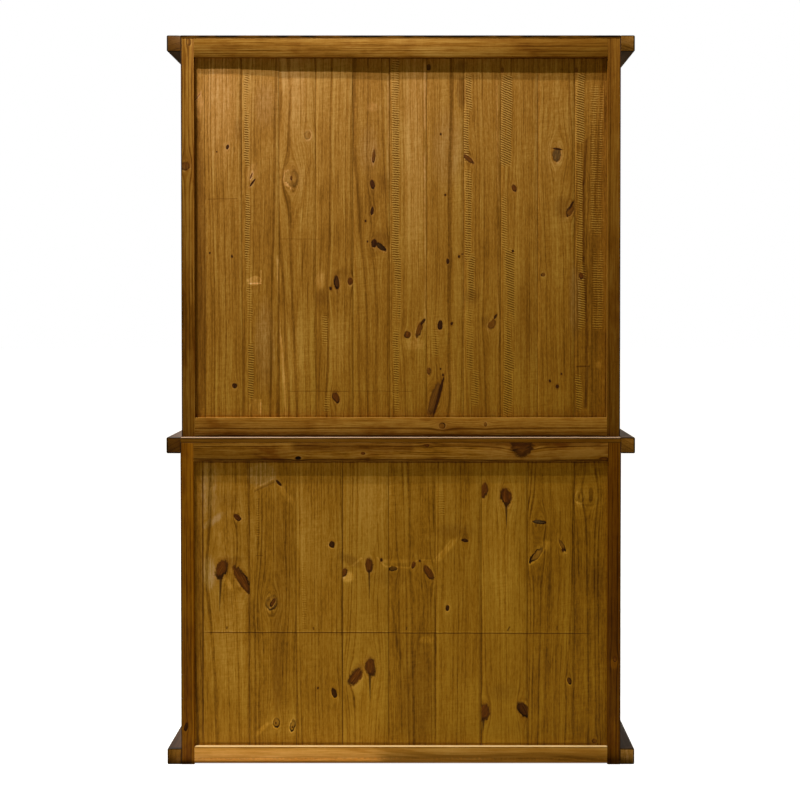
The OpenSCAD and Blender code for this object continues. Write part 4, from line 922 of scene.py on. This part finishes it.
UPPER_CASE, LOWER_CASE = case_cover(FRONT_UP, BACK_UP), case_cover(FRONT_LOW, BACK_LOW)
RAIL_TOP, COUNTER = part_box("base_back_bottom_rail")[1].z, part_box("counter_top")[1].z
LOOK = {  # the materials of the nodes that have their own
    "upper_right_side_frame": timber_material(
        "upper_right_frame_pine", HONEY, UPPER_CASE, lively=1.5, tone_and_light=(0.6, 0.6, 0.6),
        marks=on(BACK_UP, knot(188.5, 42, 7, 9, body=0.15, rim=0.35, flow=0.8),
                 knot(185.5, 166, 12, 11, body=0.6, rim=0.5, colour=srgb(92, 44, 12)))),
    "upper_left_side_frame": timber_material(
        "upper_left_frame_pine", HONEY, UPPER_CASE, lively=1.3, tone_and_light=(0.6, 0.6, 0.52)),
    "base_right_side_frame": timber_material(
        "base_right_frame_pine", LOW_HONEY, LOWER_CASE, lively=1.5, tone_and_light=(0.52, 0.42, 0.42),
        marks=on(BACK_LOW, dark(186, 727, 5, 12, 15))),
    "base_left_side_frame": timber_material(
        "base_left_frame_pine", LOW_HONEY, LOWER_CASE, lively=1.3, tone_and_light=(0.34, 0.34, 0.34),
        marks=on(BACK_LOW, knot(615, 659, 5, 8, body=0.6), cloud(614, 664, 14, 14, PALE, 0.9, hard=0.3),
                 cloud(614, 740, 16, 60, PALE, 0.8, hard=0.3))),
    "upper_back_top_rail": timber_material("upper_top_rail_pine", HONEY, lively=1.5, tone_and_light=(0.74, 0.84, 0.48)),
    "upper_back_bottom_rail": timber_material(
        "upper_bottom_rail_pine", HONEY, lively=1.5, tone_and_light=(0.86, 0.73, 0.67),
        marks=on(BACK_UP, knot(442, 426, 8, 8, body=0.5), knot(485.5, 424, 4, 6, body=0.5),
                 # this dark line is painted contact shadow where the upper case stands on the counter
                 streak(193, 435.4, 607, 435.4, 3.5, DARK, 0.8), level=True)),
    "base_back_top_rail": timber_material(
        "base_top_rail_pine", DEEP_HONEY, lively=2.2, tone_and_light=(0.58, 0.74, 0.62),
        marks=on(BACK_LOW, knot(521.5, 443.5, 30, 33, body=1.0, rim=0.5, halo=0.1, colour=srgb(92, 52, 16), flow=0.5),
                 knot(427, 445.5, 6, 4), knot(363, 453.6, 6, 4), knot(298, 457.8, 8, 5, colour=srgb(20, 10, 5)),
                 # the two broad brown streaks are the pine's darker upper half together with painted shadow under the
                 # counter's edge; the dark line at the rail's foot is painted shade
                 knot(604, 459, 12, 5, body=0.7), streak(290, 446.5, 416, 446.5, 18, BROWN, 0.85),
                 streak(414, 444.5, 606, 444.3, 9, BROWN, 0.75), streak(193, 460.2, 607, 460.4, 3, DARK, 0.55),
                 level=True)),
    "base_back_bottom_rail": timber_material(
        "base_bottom_rail_pine", HONEY, lively=0.7, tone_and_light=(1.5, 1.15, 0.95),
        # painted highlight on the rail's upper edge, with a painted shadow line under it
        arris=(RAIL_TOP, 0.0012, srgb(255, 224, 166), 0.5, 0.0085),
        # painted light: a pale band along the rail's foot, near the floor
        marks=on(BACK_LOW, cloud(395, 762, 900, 10, (1.8, 1.7, 1.6, 1), 1.0, hard=0.3))),
    "top_board": timber_material("top_board_pine", HONEY, top_cover, tone_and_light=(0.5, 0.6, 0.45), outline=top_edge),
    "counter_top": timber_material(
        "counter_pine", DEEP_HONEY, flat_cover, tone_and_light=(0.47, 0.47, 0.47), rough=0.3,
        # painted highlight on the counter's back arris, with a painted shadow line under it
        arris=(COUNTER, 0.0022, srgb(188, 158, 132), 0.8, 0.009)),
    "base_side_boards": timber_material("base_side_pine", HONEY, side_cover),
    "upper_side_boards": timber_material("upper_side_pine", HONEY, side_cover),
}
FRAME_LOOK = timber_material("front_frame_pine", HONEY, front_cover, rough=0.3, gloss=0.35)
STAINED_LOOK = timber_material("dark_stained_pine", HONEY, all_over, rough=0.3, gloss=0.35)
INSIDE_LOOK = timber_material("inside_waxed_pine", HONEY, rough=0.42, tone_and_light=(1.05, 1.05, 1.05))
# the last number of each is the painted shade on the bar's top at the image's right
for name, back, wide, shade, right_top_shade in (("cornice_mouldings", BACK_UP, (0.005, 0.004, 0.002), (0.42, 0.4, 0.78), 0),
                                     ("waist_mouldings", BACK_LOW, (0.005, 0.004, 0.004), (0.3, 0.4, 0.82), 0),
                                     ("base_mouldings", BACK_LOW, (0.004, 0.004, 0.003), (0.78, 0.4, 1.2), 0.64)):
    low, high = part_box(name)
    LOOK[name] = timber_material(name + "_pine", DEEP_HONEY, bar_cover(back), tone_and_light=shade, rough=0.3, gloss=0.3,
                                 outline=bar_outline(low.z, high.z, back, wide, right_top_shade))


def iron():
    material, tree, plug = surface("blackened_iron", 0.4)
    place = node(tree, "TexCoord", out=3)
    mottle = noise(place, scale=220, detail=3)
    worn = noise(place, scale=60, detail=2).step(0.55, 0.7)
    colour = mix(srgb(38, 34, 32), srgb(86, 76, 68), worn * 0.5)
    plug(Base_Color=colour, Metallic=0.9, Roughness=mottle * 0.3 + 0.3, Normal=bump(mottle, 0.3, 0.0004))
    return material


def window_glass():
    material, tree, plug = surface("window_glass", 0.02)
    ripple = noise(node(tree, "TexCoord", out=3), scale=9, detail=1)
    plug(Base_Color=(0.93, 0.97, 0.95, 1), Transmission_Weight=1.0, IOR=1.45, Normal=bump(ripple, 0.08, 0.002))
    return material


IRON, GLASS = iron(), window_glass()
METAL = ("hinge", "catches", "knob", "leaves")
INSIDE = ("floor_board", "shel", "batten", "runners", "guides", "drawer_box", "drawer_bottom", "stops")
EDGE, IRON_EDGE, COUNTER_EDGE, WORN_EDGE = 0.0018, 0.0002, 0.0024, 0.0012

for count, (name, obj) in enumerate(sorted(NODES.items())):
    if name in ("upper_back_boards", "base_back_boards"):
        continue
    mesh = obj.data
    label_islands(mesh, count)
    mesh.materials.clear()
    if any(word in name for word in METAL):
        mesh.materials.append(IRON)
        round_edges(obj, IRON_EDGE, 1, whole_faces=False, angle=40)
    elif "glass" in name:
        mesh.materials.append(GLASS)
    else:
        plain = FRAME_LOOK if "front_frame" in name else STAINED_LOOK
        if any(word in name for word in INSIDE):
            plain = INSIDE_LOOK
        mesh.materials.append(LOOK.get(name, plain))
        wide = {"counter_top": COUNTER_EDGE, "base_back_bottom_rail": WORN_EDGE}.get(name, EDGE)
        # joined to whole faces, this frame's back post gets one that renders black
        whole = name != "base_right_side_frame"
        round_edges(obj, wide, 3 if wide == COUNTER_EDGE else 2, whole_faces=whole)


# ---- floor, light and sky
def stage_plane(name, z, colour, glow=0.0):
    bpy.ops.mesh.primitive_plane_add(size=60, location=(0, 0, z))
    plane = bpy.context.object
    plane.name = name
    material, tree, plug = surface(name, 0.9)
    plug(Base_Color=colour, Emission_Color=(1, 1, 1, 1), Emission_Strength=glow)
    plane.data.materials.append(material)
    return plane


floor = stage_plane("floor", 0, (0.5, 0.5, 0.49, 1), 0.9)
floor.visible_diffuse = floor.visible_glossy = False
stage_plane("floor_bounce", -0.002, (0.45, 0.4, 0.3, 1)).visible_camera = False

scene = bpy.context.scene
scene.view_settings.view_transform = "Standard"
world = bpy.data.worlds.new("studio")
scene.world = world
world.use_nodes = True
tree = world.node_tree
dx, dy, dz = split(node(tree, "TexCoord", out=0))
front = dy.step(0.2, -0.7)
front = front * (dz.step(-0.05, 0.35) * 0.6 + 0.4) * (dx.step(-0.35, 0.15) * 0.6 + 0.4)
glow = mix((0.084, 0.079, 0.018, 1), (1.1, 0.95, 0.8, 1), front)
seen = node(tree, "LightPath", out=0).math("MAXIMUM", node(tree, "LightPath", out=6))
put(tree.nodes["Background"].inputs["Color"], mix(glow, (1, 1, 1, 1), seen))


def lamp(name, at, aim, watts, size, colour, deep=None):
    data = bpy.data.lights.new(name, "AREA")
    data.energy, data.size, data.color = watts, size, colour
    if deep:
        data.shape, data.size_y = "RECTANGLE", deep
    obj = bpy.data.objects.new(name, data)
    obj.location = at
    obj.rotation_euler = (Vector(aim) - Vector(at)).to_track_quat("-Z", "Y").to_euler()
    scene.collection.objects.link(obj)
    return obj


for name, y, watts in (("steep_lamp", 0.95, 90), ("far_lamp", 1.29, 79)):
    lamp(name, (1.1, y, 4.7), (0.3, 0.24, 1.8), watts, 0.06, (1.0, 0.96, 0.88))
glow_card = lamp("floor_glow", (0.3, 1.05, 0.012), (0.3, 1.05, 1), 8.8, 2.6, (1.0, 0.88, 0.38), 1.5)
softbox = lamp("front_softbox", (-0.7, -3.3, 2.7), (0, -0.2, 1.1), 75, 1.5, (1.0, 0.96, 0.9))
sides = [lamp(name, (x, -1.0, 1.1), (x * 0.2, -0.2, 1.1), watts, 1.2, (1.0, 0.96, 0.9), 1.2)
         for name, x, watts in (("left_fill", -3.1, 42), ("right_fill", 3.1, 22))]
foot_card = lamp("foot_glow", (0.36, 0.29, 0.008), (0.36, 0.27, 1), 0.1, 0.6, (1.0, 0.84, 0.6), 0.05)
for card in (glow_card, foot_card, softbox, *sides):
    card.visible_camera = card.visible_glossy = False
